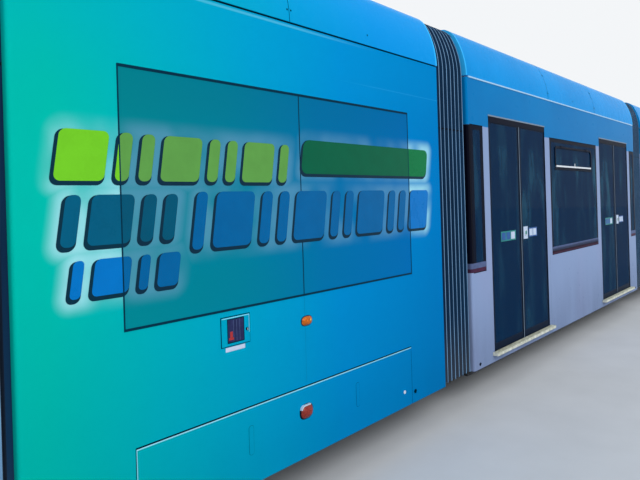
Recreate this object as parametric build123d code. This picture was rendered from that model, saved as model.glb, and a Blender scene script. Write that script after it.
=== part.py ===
from build123d import *
import os

# Five-section low-floor tram: cab section a, door section b, centre section c, door section d, cab section e.
# +X runs along the tram towards section e, +Y across it, +Z up. The origin is at the middle of the tram,
# at the lowest point of the wheel flanges. All sizes are in millimetres.

# Overall body
cab_section_length = 5760.0
body_width = 2650.0
centre_length = 3370.0
door_section_length = 5650.0
gangway_gap = 505.0
gangway_half = 750.0
gangway_top_z = 2330.0
cab_length = 2035.0
wall = 70.0
corner_radius = 20.0
skirt_z = 290.0
gutter_z = 2872.0
fairing_gap = 12.0

# Floors, ceiling and roof
frame_z = 300.0
floor_z = 380.0
bogie_floor_z = 460.0
bogie_floor_plate = 48.0
landing = 40.0
ceiling_z = 2480.0
deck_z = 2640.0
fairing_skin = 25.0
fairing_rib = 30.0
fairing_waist_z = 3224.0
fairing_waist_in = 91.0
fairing_bulge_in = 25.0
fairing_bulge_z = 3060.0
fairing_shoulder_z = 3320.0
fairing_shoulder_in = 200.0
fairing_lip_z = 3335.0
fairing_lip_in = 330.0
fairing_foot_in = 220.0
fairing_crest = 18.0
roof_unit_radius = 40.0
# Roof containers on each long section: the share of its length where one starts and ends, half its width, its top
roof_units = [
    (0.060, 0.440, 780.0, 3290.0),
    (0.475, 0.700, 700.0, 3180.0),
    (0.735, 0.940, 720.0, 3250.0),
]

# Windows and doors
glass = 12.0
glass_clearance = 0.5
window_top_z = 2455.0
centre_sill_z = 1257.0
centre_window = 2414.0
pane_joint = 8.0
door_sill_z = 1150.0
end_window = 240.0
end_window_margin = 42.0
end_pillar = 130.0
door_width = 1415.0
door_bottom_z = 381.0
door_top_z = 2572.0
door_thickness = 42.0
door_recess = 6.0
door_stile = 42.0
door_rail = 70.0
door_seal_gap = 6.0
leaf_clearance = 0.5
pillar = 150.0
sill_reach = 52.0
sill_overhang = 40.0
sill_depth = 110.0
sill_thickness = 26.0

# Cab section windows, from its gangway end
cab_first_window = 470.0
cab_last_margin = 332.0
cab_window_gap = 130.0
cab_side_window = 760.0
cab_side_window_from_joint = 230.0
cab_side_sill_z = 1250.0

# Cab nose
nose_wall = 60.0
nose_shoulder = 450.0
nose_flank_on = 90.0
nose_flank_in = 105.0
nose_face_back = 85.0
nose_face_out = 30.0
nose_chin_tuck = 70.0
nose_chin_rise = 140.0
nose_bumper_back = 12.0
nose_screen_back = 210.0
nose_crown_back = 830.0
nose_crown_rise = 370.0
nose_corner_back = 335.0
nose_corner_y = 960.0
nose_tip_low_z = 700.0
nose_tip_high_z = 1050.0
nose_chin_back = 260.0
nose_brow_back = 560.0
nose_brow_z = 2750.0
nose_roof_back = 1300.0
screen_half_low = 1010.0
screen_half_high = 960.0
screen_low_z = 1200.0
screen_high_z = 2790.0
screen_depth = 850.0
lamp_in = 520.0
lamp_out = 880.0
lamp_low_z = 770.0
lamp_high_z = 960.0
top_lamp_half = 110.0
top_lamp_low_z = 2880.0
top_lamp_high_z = 2950.0
cab_doorway = 650.0
cab_doorway_top_z = 2380.0
desk_front_back = 420.0
desk_depth = 460.0
desk_half = 800.0
desk_z = 1120.0
desk_plate = 90.0
desk_side = 60.0

# Running gear
wheelbase = 1800.0
cab_bogie_from_gangway = 2900.0
tread_radius = 325.0
flange_height = 28.0
flange_width = 32.0
wheel_width = 120.0
wheel_back = 680.0
rim = 55.0
web = 30.0
hub_radius = 95.0
axle_radius = 50.0
journal_clearance = 0.5
wheel_box_half = 390.0
wheel_box_in = 600.0
wheel_box_skin = 20.0
wheel_box_top_z = 735.0
motor_radius = 170.0
motor_in = 830.0
motor_out = 1080.0
beam_in = 880.0
beam_out = 1000.0
beam_low_z = 290.0
beam_high_z = 400.0
transom_half = 150.0
pad_x = 330.0
pad_half = 80.0
brake_half = 440.0
brake_y = 750.0
brake_width = 80.0
brake_low_z = 45.0
brake_high_z = 125.0
hanger_x = 300.0
hanger_half = 22.0
flap_height_z = 713.0
flap_width = 2340.0
flap_gap = 4.0
flap_thickness = 30.0
flap_lining = 120.0

# Articulation under each gangway
turntable_radius = 560.0
turntable_plate = 40.0
turntable_clearance = 12.0
knuckle_radius = 150.0
knuckle_plate = 34.0
knuckle_z = 200.0
knuckle_gap = 6.0
pin_radius = 45.0
pin_clearance = 0.5
bellows_clearance = 0.5
bellows_inset = 16.0
bellows_depth = 110.0
bellows_low_z = 300.0

# Seats and poles
seat_depth = 430.0
seat_pad = 70.0
seat_back = 560.0
seat_recline = 80.0
seat_in = 400.0
seat_out = 1240.0
seat_height = 430.0
seat_post_half = 110.0
seat_inset = 20.0
seat_bay_margin = 120.0
end_seat_from_gangway = 560.0
front_seat_from_bogie = 280.0
driver_from_joint = 560.0
driver_back = 80.0
driver_back_low = 200.0
driver_back_high = 650.0
driver_half = 250.0
pole_radius = 17.0
pole_y = 560.0
rail_z = 1950.0

# Pantograph, folded, on the centre section
pan_x = 500.0
pan_z = 3215.0
lower_arm = 1250.0
lower_arm_rise = 6.0
upper_arm = 1350.0
upper_arm_rise = 3.0
lower_tube = 42.0
upper_tube = 17.0
pan_bearing = 48.0
pan_pin = 20.0
pan_running = 0.4
pan_base_half = 220.0
pan_ear = 26.0
pan_ear_gap = 6.0
knee_half = 62.0
knee_fork = 24.0
knee_fork_gap = 6.0
head_half = 330.0
head_pin = 14.0
head_spread = 190.0
head_rise = 66.0
strip_half = 520.0
strip_width = 40.0
strip_height = 34.0
horn_reach = 290.0
horn_drop = 150.0
horn_radius = 13.0
pan_box_z = 3000.0
insulator_radius = 55.0
insulator_height = 96.0
base_bar = 50.0

# Small lamps and tow and jacking points
side_lamp_z = 1100.0
side_lamp_shift = 14.0
side_lamp_length = 84.0
side_lamp_height = 58.0
side_lamp_depth = 22.0
reflector_z = 563.0
reflector_shift = -11.0
reflector_length = 120.0
reflector_height = 92.0
reflector_depth = 34.0
tow_beam_half = 110.0
tow_beam_depth = 46.0
tow_bore = 25.0
tow_from_tip = 230.0
jack_pad = 130.0
jack_pad_drop = 30.0
jack_pad_from_end = 450.0

half_width = body_width / 2
inner = half_width - wall
centre_end = centre_length / 2
door_start = centre_end + gangway_gap
door_end = door_start + door_section_length
cab_start = door_end + gangway_gap
cab_joint = cab_start + cab_section_length
nose_x = cab_joint + cab_length
cab_window = (cab_section_length - cab_first_window - cab_window_gap - cab_last_margin) / 2
pivot_c = centre_end + gangway_gap / 2
pivot_e = door_end + gangway_gap / 2
cab_bogie_x = cab_start + cab_bogie_from_gangway
axle_z = tread_radius + flange_height
bogie_zone = wheelbase / 2 + wheel_box_half

os.makedirs("parts", exist_ok=True)


def block(x0, x1, y0, y1, z0, z1):
    centre = Pos((x0 + x1) / 2, (y0 + y1) / 2, (z0 + z1) / 2)
    return centre * Box(abs(x1 - x0), abs(y1 - y0), abs(z1 - z0))


def bar_y(x, z, radius, y0, y1):
    return Pos(x, (y0 + y1) / 2, z) * Rot(X=90) * Cylinder(radius, abs(y1 - y0))


def bar_z(x, y, radius, z0, z1):
    return Pos(x, y, (z0 + z1) / 2) * Cylinder(radius, abs(z1 - z0))


def tube(start, end, radius):
    run = Vector(*end) - Vector(*start)
    plane = Plane(origin=start, z_dir=run)
    return extrude(plane * Circle(radius), amount=run.length)


def prism_y(points, y0, y1):
    """A straight-edged outline in X and Z, swept across from y0 to y1."""
    plane = Plane(origin=(0, y1, 0), x_dir=(1, 0, 0), z_dir=(0, -1, 0))
    return extrude(plane * make_face(Polyline(*points, close=True)), amount=y1 - y0)


def mirrored(shape):
    return mirror(shape, about=Plane.XZ)


def turned(shapes):
    """The same pieces on the opposite half of the tram, turned half round the vertical."""
    return [Rot(Z=180) * s for s in shapes]


def save(node, shapes):
    export_step(Compound(solids_of(shapes)), f"parts/{node}.step")


def solids_of(shapes):
    return [solid for shape in shapes for solid in shape.solids()]


# Side walls, with windows, doors and the bogie hatch cut out. An opening is (x0, x1, z0, z1).
def side_wall(x0, x1, openings, open_end=True):
    panel = block(x0, x1, -half_width, -inner, skirt_z, gutter_z)
    corners = panel.edges().filter_by(Axis.Z).sort_by(Axis.Y)[:2].sort_by(Axis.X)
    corners = corners if open_end else corners[:1]
    panel = fillet(corners, corner_radius)
    for a, b, low, high in openings:
        panel -= block(a, b, -half_width - 1, -inner + 1, low, high)
    return panel


def panes(openings, y_out=half_width):
    """Flush panes, one in each opening, on both sides of the tram."""
    made = []
    for a, b, low, high in openings:
        c = glass_clearance
        pane = block(a + c, b - c, -y_out, -y_out + glass, low + c, high - c)
        made += [pane, mirrored(pane)]
    return made


def split(opening):
    """One opening glazed with two panes that meet at its middle."""
    a, b, low, high = opening
    middle = (a + b) / 2
    return [(a, middle - pane_joint / 2, low, high), (middle + pane_joint / 2, b, low, high)]


def flap_opening(bogie_x):
    return (bogie_x - flap_width / 2, bogie_x + flap_width / 2, skirt_z - 1, flap_height_z)


def hatch_flaps(bogie_x):
    """The hinged skirt panels that cover the bogie."""
    a, b, low, high = flap_opening(bogie_x)
    c, gap = glass_clearance, flap_gap
    flap = block(a + gap, b - gap, -half_width, -half_width + flap_thickness, skirt_z, high - gap)
    lining = block(a + c, b - c, -half_width + flap_thickness, -inner, high - flap_lining, high - c)
    flap += lining
    return [flap, mirrored(flap)]


# Roof: a deck slab between the walls, and a curved fairing along each side on ribs
def fairing_face(skin):
    """Half of the fairing's cross-section in Y and Z, on the +Y side. skin is how far it lies inside."""
    start_z = gutter_z + fairing_gap
    outer = [
        (half_width - skin, start_z),
        (half_width - fairing_bulge_in - skin, fairing_bulge_z),
        (half_width - fairing_waist_in - skin, fairing_waist_z),
        (half_width - (fairing_waist_in + fairing_shoulder_in) / 2 - 0.8 * skin,
         (fairing_waist_z + fairing_shoulder_z) / 2 + fairing_crest - 0.6 * skin),
        (half_width - fairing_shoulder_in, fairing_shoulder_z - skin),
        (half_width - fairing_lip_in, fairing_lip_z - skin),
    ]
    return outer


def fairing(x0, x1):
    a, b = fairing_face(0), fairing_face(fairing_skin)
    plane = Plane(origin=(x0, 0, 0), x_dir=(0, 1, 0), z_dir=(1, 0, 0))
    outline = [
        ThreePointArc(a[0], a[1], a[2]),
        ThreePointArc(a[2], a[3], a[4]),
        Line(a[4], a[5]),
        Line(a[5], b[5]),
        Line(b[5], b[4]),
        ThreePointArc(b[4], b[3], b[2]),
        ThreePointArc(b[2], b[1], b[0]),
        Line(b[0], a[0]),
    ]
    return extrude(plane * make_face(Curve() + outline), amount=x1 - x0)


def fairing_rib_plate(x):
    """A plate from the deck's edge up to the inside of the fairing."""
    b = fairing_face(fairing_skin - 2)
    plane = Plane(origin=(x - fairing_rib / 2, 0, 0), x_dir=(0, 1, 0), z_dir=(1, 0, 0))
    foot = inner - fairing_foot_in
    outline = [
        ThreePointArc(b[2], b[1], b[0]),
        Polyline(b[0], (inner, b[0][1]), (inner, deck_z), (foot, deck_z)),
        Line((foot, deck_z), b[2]),
    ]
    return extrude(plane * make_face(Curve() + outline), amount=fairing_rib)


def end_frame(x):
    """The gangway's end frame: a bulkhead above the deck up to the bellows' top, and a portal between the walls."""
    inside = fairing_face(fairing_skin - 2)
    waist, shoulder = inside[2], inside[4]
    foot = inner - fairing_foot_in
    plane = Plane(origin=(x - fairing_rib / 2, 0, 0), x_dir=(0, 1, 0), z_dir=(1, 0, 0))
    upper = Polyline((-foot, deck_z), (foot, deck_z), waist, shoulder,
                     (-shoulder[0], shoulder[1]), (-waist[0], waist[1]), close=True)
    portal = block(x - fairing_rib / 2, x + fairing_rib / 2, -inner, inner, floor_z, ceiling_z)
    portal -= block(x - fairing_rib, x + fairing_rib, -gangway_half, gangway_half, floor_z - 1, gangway_top_z)
    return extrude(plane * make_face(upper), amount=fairing_rib), portal


def roof(x0, x1, rib_count, ring_ends):
    """ring_ends lists the ends that open on a gangway: 0 for x0 and 1 for x1."""
    deck = block(x0, x1, -inner, inner, ceiling_z, deck_z)
    portals = []
    for end in ring_ends:
        bulkhead, portal = end_frame(x0 + fairing_rib / 2 + end * (x1 - x0 - fairing_rib))
        deck += bulkhead
        portals.append(portal)
    side = fairing(x0, x1)
    step = (x1 - x0 - fairing_rib) / (rib_count - 1)
    for n in range(rib_count):
        side += fairing_rib_plate(x0 + fairing_rib / 2 + n * step)
    side -= deck
    return [deck, side, mirrored(side)] + portals


# Underframes
def floor_profile(x0, x1, bogie_x, far_floor_z):
    """The floor of a section that stands on a bogie, as an outline in X and Z."""
    a, b = bogie_x - bogie_zone, bogie_x + bogie_zone
    plate_z = bogie_floor_z - bogie_floor_plate
    return [
        (x0, frame_z), (x0, floor_z), (x0 + landing, floor_z), (a, bogie_floor_z), (b, bogie_floor_z),
        (x1 - landing, far_floor_z), (x1, far_floor_z), (x1, frame_z), (b, frame_z), (b, plate_z), (a, plate_z), (a, frame_z),
    ]


def wheel_box(axle_x):
    """A box over one wheel and its motor, open below, on the -Y side."""
    a, b, low = axle_x - wheel_box_half, axle_x + wheel_box_half, bogie_floor_z - bogie_floor_plate
    s = wheel_box_skin
    shell = block(a, b, -inner, -wheel_box_in, low, wheel_box_top_z)
    return shell - block(a + s, b - s, -inner, -wheel_box_in - s, low - 1, wheel_box_top_z - s)


def bogie_floor(x0, x1, bogie_x, far_floor_z):
    """The floor, and the four separate boxes over its wheels."""
    frame = prism_y(floor_profile(x0, x1, bogie_x, far_floor_z), -inner, inner)
    covers = []
    for axle_x in (bogie_x - wheelbase / 2, bogie_x + wheelbase / 2):
        cut = block(axle_x - wheel_box_half, axle_x + wheel_box_half, -inner - 1, -wheel_box_in,
                    bogie_floor_z - bogie_floor_plate, bogie_floor_z + 1)
        cover = wheel_box(axle_x)
        frame = frame - cut - mirrored(cut)
        covers += [cover, mirrored(cover)]
    return frame, covers


def turntable(pivot_x, towards):
    """The round gangway floor, and the lower knuckle eye that is bolted under the section on its towards side."""
    plate = bar_z(pivot_x, 0, turntable_radius, floor_z - turntable_plate, floor_z)
    tongue = block(pivot_x, pivot_x + towards * (gangway_gap / 2 + knuckle_radius),
                   -knuckle_radius, knuckle_radius, knuckle_z, knuckle_z + knuckle_plate)
    riser_x = pivot_x + towards * (gangway_gap / 2)
    riser = block(riser_x, riser_x + towards * knuckle_radius,
                  -knuckle_radius, knuckle_radius, knuckle_z, frame_z)
    eye = bar_z(pivot_x, 0, knuckle_radius, knuckle_z, knuckle_z + knuckle_plate)
    neck = block(pivot_x, riser_x, -turntable_radius, turntable_radius,
                 floor_z - turntable_plate, floor_z)
    hole = bar_z(pivot_x, 0, pin_radius + pin_clearance, knuckle_z - 1, knuckle_z + knuckle_plate + 1)
    return [plate + neck, tongue + riser + eye - hole]


def knuckle_pin(pivot_x, towards):
    """The upper knuckle arm and its pin, bolted on the other section's end."""
    top = knuckle_z + knuckle_plate + knuckle_gap
    arm = block(pivot_x, pivot_x + towards * (gangway_gap / 2), -knuckle_radius, knuckle_radius,
                top, top + knuckle_plate)
    head = bar_z(pivot_x, 0, knuckle_radius, top, top + knuckle_plate)
    pin = bar_z(pivot_x, 0, pin_radius, knuckle_z - 12, top + 1)
    return arm + head + pin


def turntable_cut(pivot_x):
    """Room for the other section's round floor."""
    return bar_z(pivot_x, 0, turntable_radius + turntable_clearance, floor_z - turntable_plate - 6, floor_z + 1)


def jack_pads(xs):
    made = []
    for x in xs:
        pad = block(x - jack_pad / 2, x + jack_pad / 2, -inner + 10, -inner + 10 + jack_pad,
                    frame_z - jack_pad_drop, frame_z)
        made += [pad, mirrored(pad)]
    return made


# Running gear
def wheelset(x):
    """Two flanged wheels on one axle, turned from one outline of distance along the axle and radius."""
    back, face = wheel_back, wheel_back + wheel_width
    middle = (back + face) / 2
    tyre, flange = tread_radius, tread_radius + flange_height
    half = [
        (0, axle_radius),
        (back - 10, axle_radius),
        (back - 10, hub_radius),
        (middle - web / 2, hub_radius),
        (middle - web / 2, tyre - rim),
        (back, tyre - rim),
        (back, flange - 10),
        (back + 9, flange),
        (back + 18, flange),
        (back + flange_width, tyre + 3),
        (face, tyre - 4),
        (face, tyre - rim),
        (middle + web / 2, tyre - rim),
        (middle + web / 2, hub_radius),
        (face + 8, hub_radius),
        (face + 8, axle_radius),
        (motor_out - 20, axle_radius),
    ]
    outline = [(-y, r) for y, r in reversed(half)] + half[1:] + [(motor_out - 20, 0), (20 - motor_out, 0)]
    face_plane = Plane(origin=(0, 0, 0), x_dir=(0, 1, 0), z_dir=(1, 0, 0))
    body = revolve(face_plane * make_face(Polyline(*outline, close=True)), axis=Axis.Y)
    return Pos(x, 0, axle_z) * body


def bogie(bogie_x):
    """The bogie frame with its spring pads, and its wheel motors and track brakes as solids of their own."""
    frame = block(bogie_x - transom_half, bogie_x + transom_half, -beam_in - 1, beam_in + 1, beam_low_z, beam_high_z)
    motors, brakes = [], []
    for side in (-1, 1):
        frame += block(bogie_x - wheelbase / 2, bogie_x + wheelbase / 2,
                       side * beam_in, side * beam_out, beam_low_z, beam_high_z)
        brake = block(bogie_x - brake_half, bogie_x + brake_half, side * (brake_y - brake_width / 2),
                      side * (brake_y + brake_width / 2), brake_low_z, brake_high_z)
        for end in (-1, 1):
            x = bogie_x + end * wheelbase / 2
            motor = bar_y(x, axle_z, motor_radius, side * motor_in, side * motor_out)
            frame -= motor
            motors.append(motor - bar_y(x, axle_z, axle_radius + journal_clearance, -motor_out - 1, motor_out + 1))
            frame += block(bogie_x + end * pad_x - pad_half, bogie_x + end * pad_x + pad_half,
                           side * (beam_in + 10), side * (beam_out - 10),
                           beam_high_z - 1, bogie_floor_z - bogie_floor_plate)
            hanger = block(bogie_x + end * hanger_x - hanger_half, bogie_x + end * hanger_x + hanger_half,
                           side * brake_y, side * (beam_in + 20), brake_high_z - 20, beam_low_z)
            brake += hanger
        brakes.append(brake)
    return [frame] + motors + brakes


# Seats face +X when facing is 1. A bench is (x of its back, facing, top of what it stands on).
def bench(x, facing, stand_z, cushion_z):
    low = cushion_z - seat_pad
    points = [
        (0, cushion_z), (seat_depth, cushion_z), (seat_depth, low), (-seat_pad, low),
        (-seat_pad - seat_recline, cushion_z + seat_back), (-seat_recline, cushion_z + seat_back),
    ]
    outline = [(x + facing * px, pz) for px, pz in points]
    pad = prism_y(outline, -seat_out, -seat_in)
    middle = x + facing * seat_depth / 2
    post = block(middle - seat_post_half, middle + seat_post_half, -seat_out + 100, -seat_in - 150, stand_z, low)
    return pad + post


def benches(table):
    made = []
    for x, facing, stand_z, cushion_z in table:
        seat = bench(x, facing, stand_z, cushion_z)
        made += [seat, mirrored(seat)]
    return made


def wheel_box_benches(bogie_x):
    """Two benches on each side that face each other across the foot space between the wheel boxes."""
    back = wheelbase / 2 + seat_depth / 2 - seat_inset
    cushion_z = bogie_floor_z + seat_height
    return [
        (bogie_x - back, 1, wheel_box_top_z, cushion_z),
        (bogie_x + back, -1, wheel_box_top_z, cushion_z),
    ]


# Cab nose: the outline from above, the outline from the side and the body's section, crossed
def nose_plan():
    y = half_width
    tip = nose_x
    corner = tip - nose_corner_back
    half = [
        Line((cab_joint, y), (cab_joint + nose_shoulder, y)),
        ThreePointArc((cab_joint + nose_shoulder, y),
                      ((cab_joint + nose_shoulder + corner) / 2 + nose_flank_on, y - nose_flank_in),
                      (corner, nose_corner_y)),
        ThreePointArc((corner, nose_corner_y), (tip - nose_face_back, nose_corner_y / 2 + nose_face_out), (tip, 0)),
    ]
    other = [mirror(e, about=Plane.XZ) for e in half]
    back = Line((cab_joint, -y), (cab_joint, y))
    return make_face(Curve() + half + other + [back])


def nose_side():
    tip = nose_x
    roof_z = fairing_lip_z
    points = [
        Line((cab_joint, frame_z), (tip - nose_chin_back, frame_z)),
        ThreePointArc((tip - nose_chin_back, frame_z), (tip - nose_chin_tuck, frame_z + nose_chin_rise), (tip, nose_tip_low_z)),
        Line((tip, nose_tip_low_z), (tip - nose_bumper_back, nose_tip_high_z)),
        ThreePointArc((tip - nose_bumper_back, nose_tip_high_z),
                      (tip - nose_screen_back, (nose_tip_high_z + nose_brow_z) / 2),
                      (tip - nose_brow_back, nose_brow_z)),
        ThreePointArc((tip - nose_brow_back, nose_brow_z), (tip - nose_crown_back, nose_brow_z + nose_crown_rise),
                      (tip - nose_roof_back, roof_z)),
        Line((tip - nose_roof_back, roof_z), (cab_joint, roof_z)),
        Line((cab_joint, roof_z), (cab_joint, frame_z)),
    ]
    return make_face(Curve() + points)


def nose_section():
    a = fairing_face(0)
    half = [
        Line((0, frame_z), (half_width, frame_z)),
        Line((half_width, frame_z), a[0]),
        ThreePointArc(a[0], a[1], a[2]),
        ThreePointArc(a[2], a[3], a[4]),
        Line(a[4], (0, fairing_lip_z + 10)),
    ]
    other = [mirror(e, about=Plane.YZ) for e in half]
    return make_face(Curve() + half + other)


def nose_solid(inset):
    plan, side, section = nose_plan(), nose_side(), nose_section()
    if inset:
        plan, side, section = (offset(f, amount=-inset, kind=Kind.INTERSECTION) for f in (plan, side, section))
    above = extrude(Plane.XY.offset(0) * plan, amount=2 * fairing_lip_z)
    side_plane = Plane(origin=(0, half_width + 10, 0), x_dir=(1, 0, 0), z_dir=(0, -1, 0))
    beside = extrude(side_plane * side, amount=body_width + 20)
    front_plane = Plane(origin=(cab_joint - 10, 0, 0), x_dir=(0, 1, 0), z_dir=(1, 0, 0))
    before = extrude(front_plane * section, amount=cab_length + 20)
    return above & beside & before


def front_prism(outline, depth):
    """An outline in Y and Z, cut back from the nose's tip."""
    plane = Plane(origin=(nose_x + 50 - depth, 0, 0), x_dir=(0, 1, 0), z_dir=(1, 0, 0))
    return extrude(plane * make_face(Polyline(*outline, close=True)), amount=depth + 50)


def screen_outline(c):
    low, high = screen_half_low - c, screen_half_high - c
    return [(-low, screen_low_z + c), (low, screen_low_z + c), (high, screen_high_z - c), (-high, screen_high_z - c)]


def lamp_outline(side, c):
    a, b = side * (lamp_in + c), side * (lamp_out - c)
    return [(a, lamp_low_z + c), (b, lamp_low_z + c), (b, lamp_high_z - c), (a, lamp_high_z - c)]


def top_lamp_outline(c):
    a = top_lamp_half - c
    return [(-a, top_lamp_low_z + c), (a, top_lamp_low_z + c), (a, top_lamp_high_z - c), (-a, top_lamp_high_z - c)]


def cab_window_block(c):
    a = cab_joint + cab_side_window_from_joint
    return block(a + c, a + cab_side_window - c, -half_width - 20, half_width + 20,
                 cab_side_sill_z + c, window_top_z - c)


def nose():
    """Returns the nose moulding, its glass and its lamps."""
    outer, hollow, skin = nose_solid(0), nose_solid(nose_wall), nose_solid(glass)
    shell = outer - hollow
    shell -= front_prism(screen_outline(0), screen_depth)
    shell -= cab_window_block(0)
    shell -= block(cab_joint - 1, cab_joint + nose_wall + 1, -cab_doorway / 2, cab_doorway / 2,
                   bogie_floor_z, cab_doorway_top_z)
    lamp_depth = 1100.0
    for side in (-1, 1):
        shell -= front_prism(lamp_outline(side, 0), lamp_depth)
    shell -= front_prism(top_lamp_outline(0), lamp_depth)
    floor_top = bogie_floor_z
    deck = block(cab_joint, nose_x, -half_width, half_width, frame_z + 10, floor_top) & outer
    desk = block(nose_x - desk_front_back - desk_depth, nose_x - desk_front_back, -desk_half, desk_half,
                 floor_top - 1, desk_z)
    foot_room = block(nose_x - desk_front_back - desk_depth - 1, nose_x - desk_front_back - desk_plate,
                      -desk_half + desk_side, desk_half - desk_side, floor_top, desk_z - desk_plate)
    shell = shell + deck + (desk - foot_room)
    pane = outer - skin
    c = glass_clearance
    screen = pane & front_prism(screen_outline(c), screen_depth - 1)
    side_panes = pane & cab_window_block(c)
    lens = outer - nose_solid(nose_wall)
    lamps = [lens & front_prism(lamp_outline(side, c), lamp_depth - 1) for side in (-1, 1)]
    lamps.append(lens & front_prism(top_lamp_outline(c), lamp_depth - 1))
    return shell, [screen, side_panes], lamps


# Small lamps on the side walls
def side_lamps(x):
    made = []
    for shift, z, length, height, depth in (
        (side_lamp_shift, side_lamp_z, side_lamp_length, side_lamp_height, side_lamp_depth),
        (reflector_shift, reflector_z, reflector_length, reflector_height, reflector_depth),
    ):
        a, b = x + shift - length / 2, x + shift + length / 2
        lamp = block(a, b, -half_width - depth, -half_width, z - height / 2, z + height / 2)
        lamp = fillet(lamp.edges().filter_by(Axis.Y), height * 0.38)
        made += [lamp, mirrored(lamp)]
    return made


# Bellows: a portal of fabric between two sections, open below
def bellows(pivot_x):
    half = gangway_gap / 2 - bellows_clearance
    low = bellows_low_z
    plane = Plane(origin=(pivot_x - half, 0, 0), x_dir=(0, 1, 0), z_dir=(1, 0, 0))
    a, b = fairing_face(bellows_inset), fairing_face(bellows_inset + bellows_depth)
    crown = b[2][1] - bellows_depth
    outline = [
        Line((a[0][0], low), a[0]),
        ThreePointArc(a[0], a[1], a[2]),
        ThreePointArc(a[2], a[3], a[4]),
        Line(a[4], (-a[4][0], a[4][1])),
        ThreePointArc(*[(-y, z) for y, z in reversed(a[2:5])]),
        ThreePointArc(*[(-y, z) for y, z in reversed(a[:3])]),
        Line((-a[0][0], a[0][1]), (-a[0][0], low)),
        Line((-a[0][0], low), (-b[0][0], low)),
        Polyline((-b[0][0], low), (-b[0][0], b[0][1]), (-b[2][0], crown), (b[2][0], crown), b[0], (b[0][0], low)),
        Line((b[0][0], low), (a[0][0], low)),
    ]
    return extrude(plane * make_face(Curve() + outline), amount=2 * half)


# Door leaves, with a glass pane in each
def door_openings():
    first = door_start + end_window_margin + end_window + end_pillar
    last = door_end - end_window_margin - end_window - end_pillar - door_width
    return [(first, first + door_width), (last, last + door_width)]


def door_leaves():
    frames, glazing = [], []
    y0 = -half_width + door_recess
    for a, b in door_openings():
        middle = (a + b) / 2
        for x0, x1 in ((a + leaf_clearance, middle - door_seal_gap / 2), (middle + door_seal_gap / 2, b - leaf_clearance)):
            low, high = door_bottom_z, door_top_z - leaf_clearance
            leaf = block(x0, x1, y0, y0 + door_thickness, low, high)
            hole = (x0 + door_stile, x1 - door_stile, low + door_rail, high - door_rail)
            leaf -= block(hole[0], hole[1], y0 - 1, y0 + door_thickness + 1, hole[2], hole[3])
            frames += [leaf, mirrored(leaf)]
            glazing += panes([hole], half_width - door_recess)
    return frames, glazing


def build_door_section():
    doors = door_openings()
    (a0, a1), (b0, b1) = doors
    windows = [
        (door_start + end_window_margin, door_start + end_window_margin + end_window, door_sill_z, window_top_z),
        (a1 + pillar, b0 - pillar, door_sill_z, window_top_z),
        (door_end - end_window_margin - end_window, door_end - end_window_margin, door_sill_z, window_top_z),
    ]
    holes = windows + [(a, b, floor_z, door_top_z) for a, b in doors]
    wall_panel = side_wall(door_start, door_end, holes)
    frames, glazing = door_leaves()
    floor = block(door_start, door_end, -inner, inner, frame_z - 60, floor_z)
    for a, b in doors:
        low = floor_z - sill_thickness
        tread = block(a, b, -half_width - sill_reach, -half_width + sill_depth, low, floor_z)
        tread += block(a - sill_overhang, b + sill_overhang, -half_width - sill_reach, -half_width, low, floor_z)
        wall_panel -= tread
        floor += tread + mirrored(tread)
    floor = floor - turntable_cut(pivot_c) - turntable_cut(pivot_e)
    knuckles = [knuckle_pin(pivot_c, 1), knuckle_pin(pivot_e, -1)]
    seat_z = floor_z + seat_height
    bay = [
        (a1 + pillar + seat_bay_margin, 1, floor_z, seat_z),
        (b0 - pillar - seat_bay_margin, -1, floor_z, seat_z),
    ]
    return {
        "underframe": [floor] + knuckles,
        "side_walls": [wall_panel, mirrored(wall_panel)],
        "roof": roof(door_start, door_end, 6, (0, 1)),
        "windows": panes(windows) + glazing,
        "doors": frames,
        "seats": benches(bay),
        "grab_poles": grab_poles(doors),
        "roof_units": roof_containers(door_start, door_section_length),
    }


def rounded(x0, x1, half, z0, z1):
    """A roof container with softened upper edges."""
    unit = block(x0, x1, -half, half, z0, z1)
    return fillet(unit.faces().sort_by(Axis.Z)[-1].edges(), roof_unit_radius)


def roof_containers(x0, length):
    return [rounded(x0 + a * length, x0 + b * length, half, deck_z, top) for a, b, half, top in roof_units]


def grab_poles(doors):
    """Poles from floor to ceiling beside each door, tied in pairs by a high rail."""
    made = []
    for a, b in doors:
        for side in (-1, 1):
            y = side * pole_y
            group = bar_z(a + 60, y, pole_radius, floor_z, ceiling_z)
            group += bar_z(b - 60, y, pole_radius, floor_z, ceiling_z)
            group += tube((a + 60, y, rail_z), (b - 60, y, rail_z), pole_radius)
            made.append(group)
    return made


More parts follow.
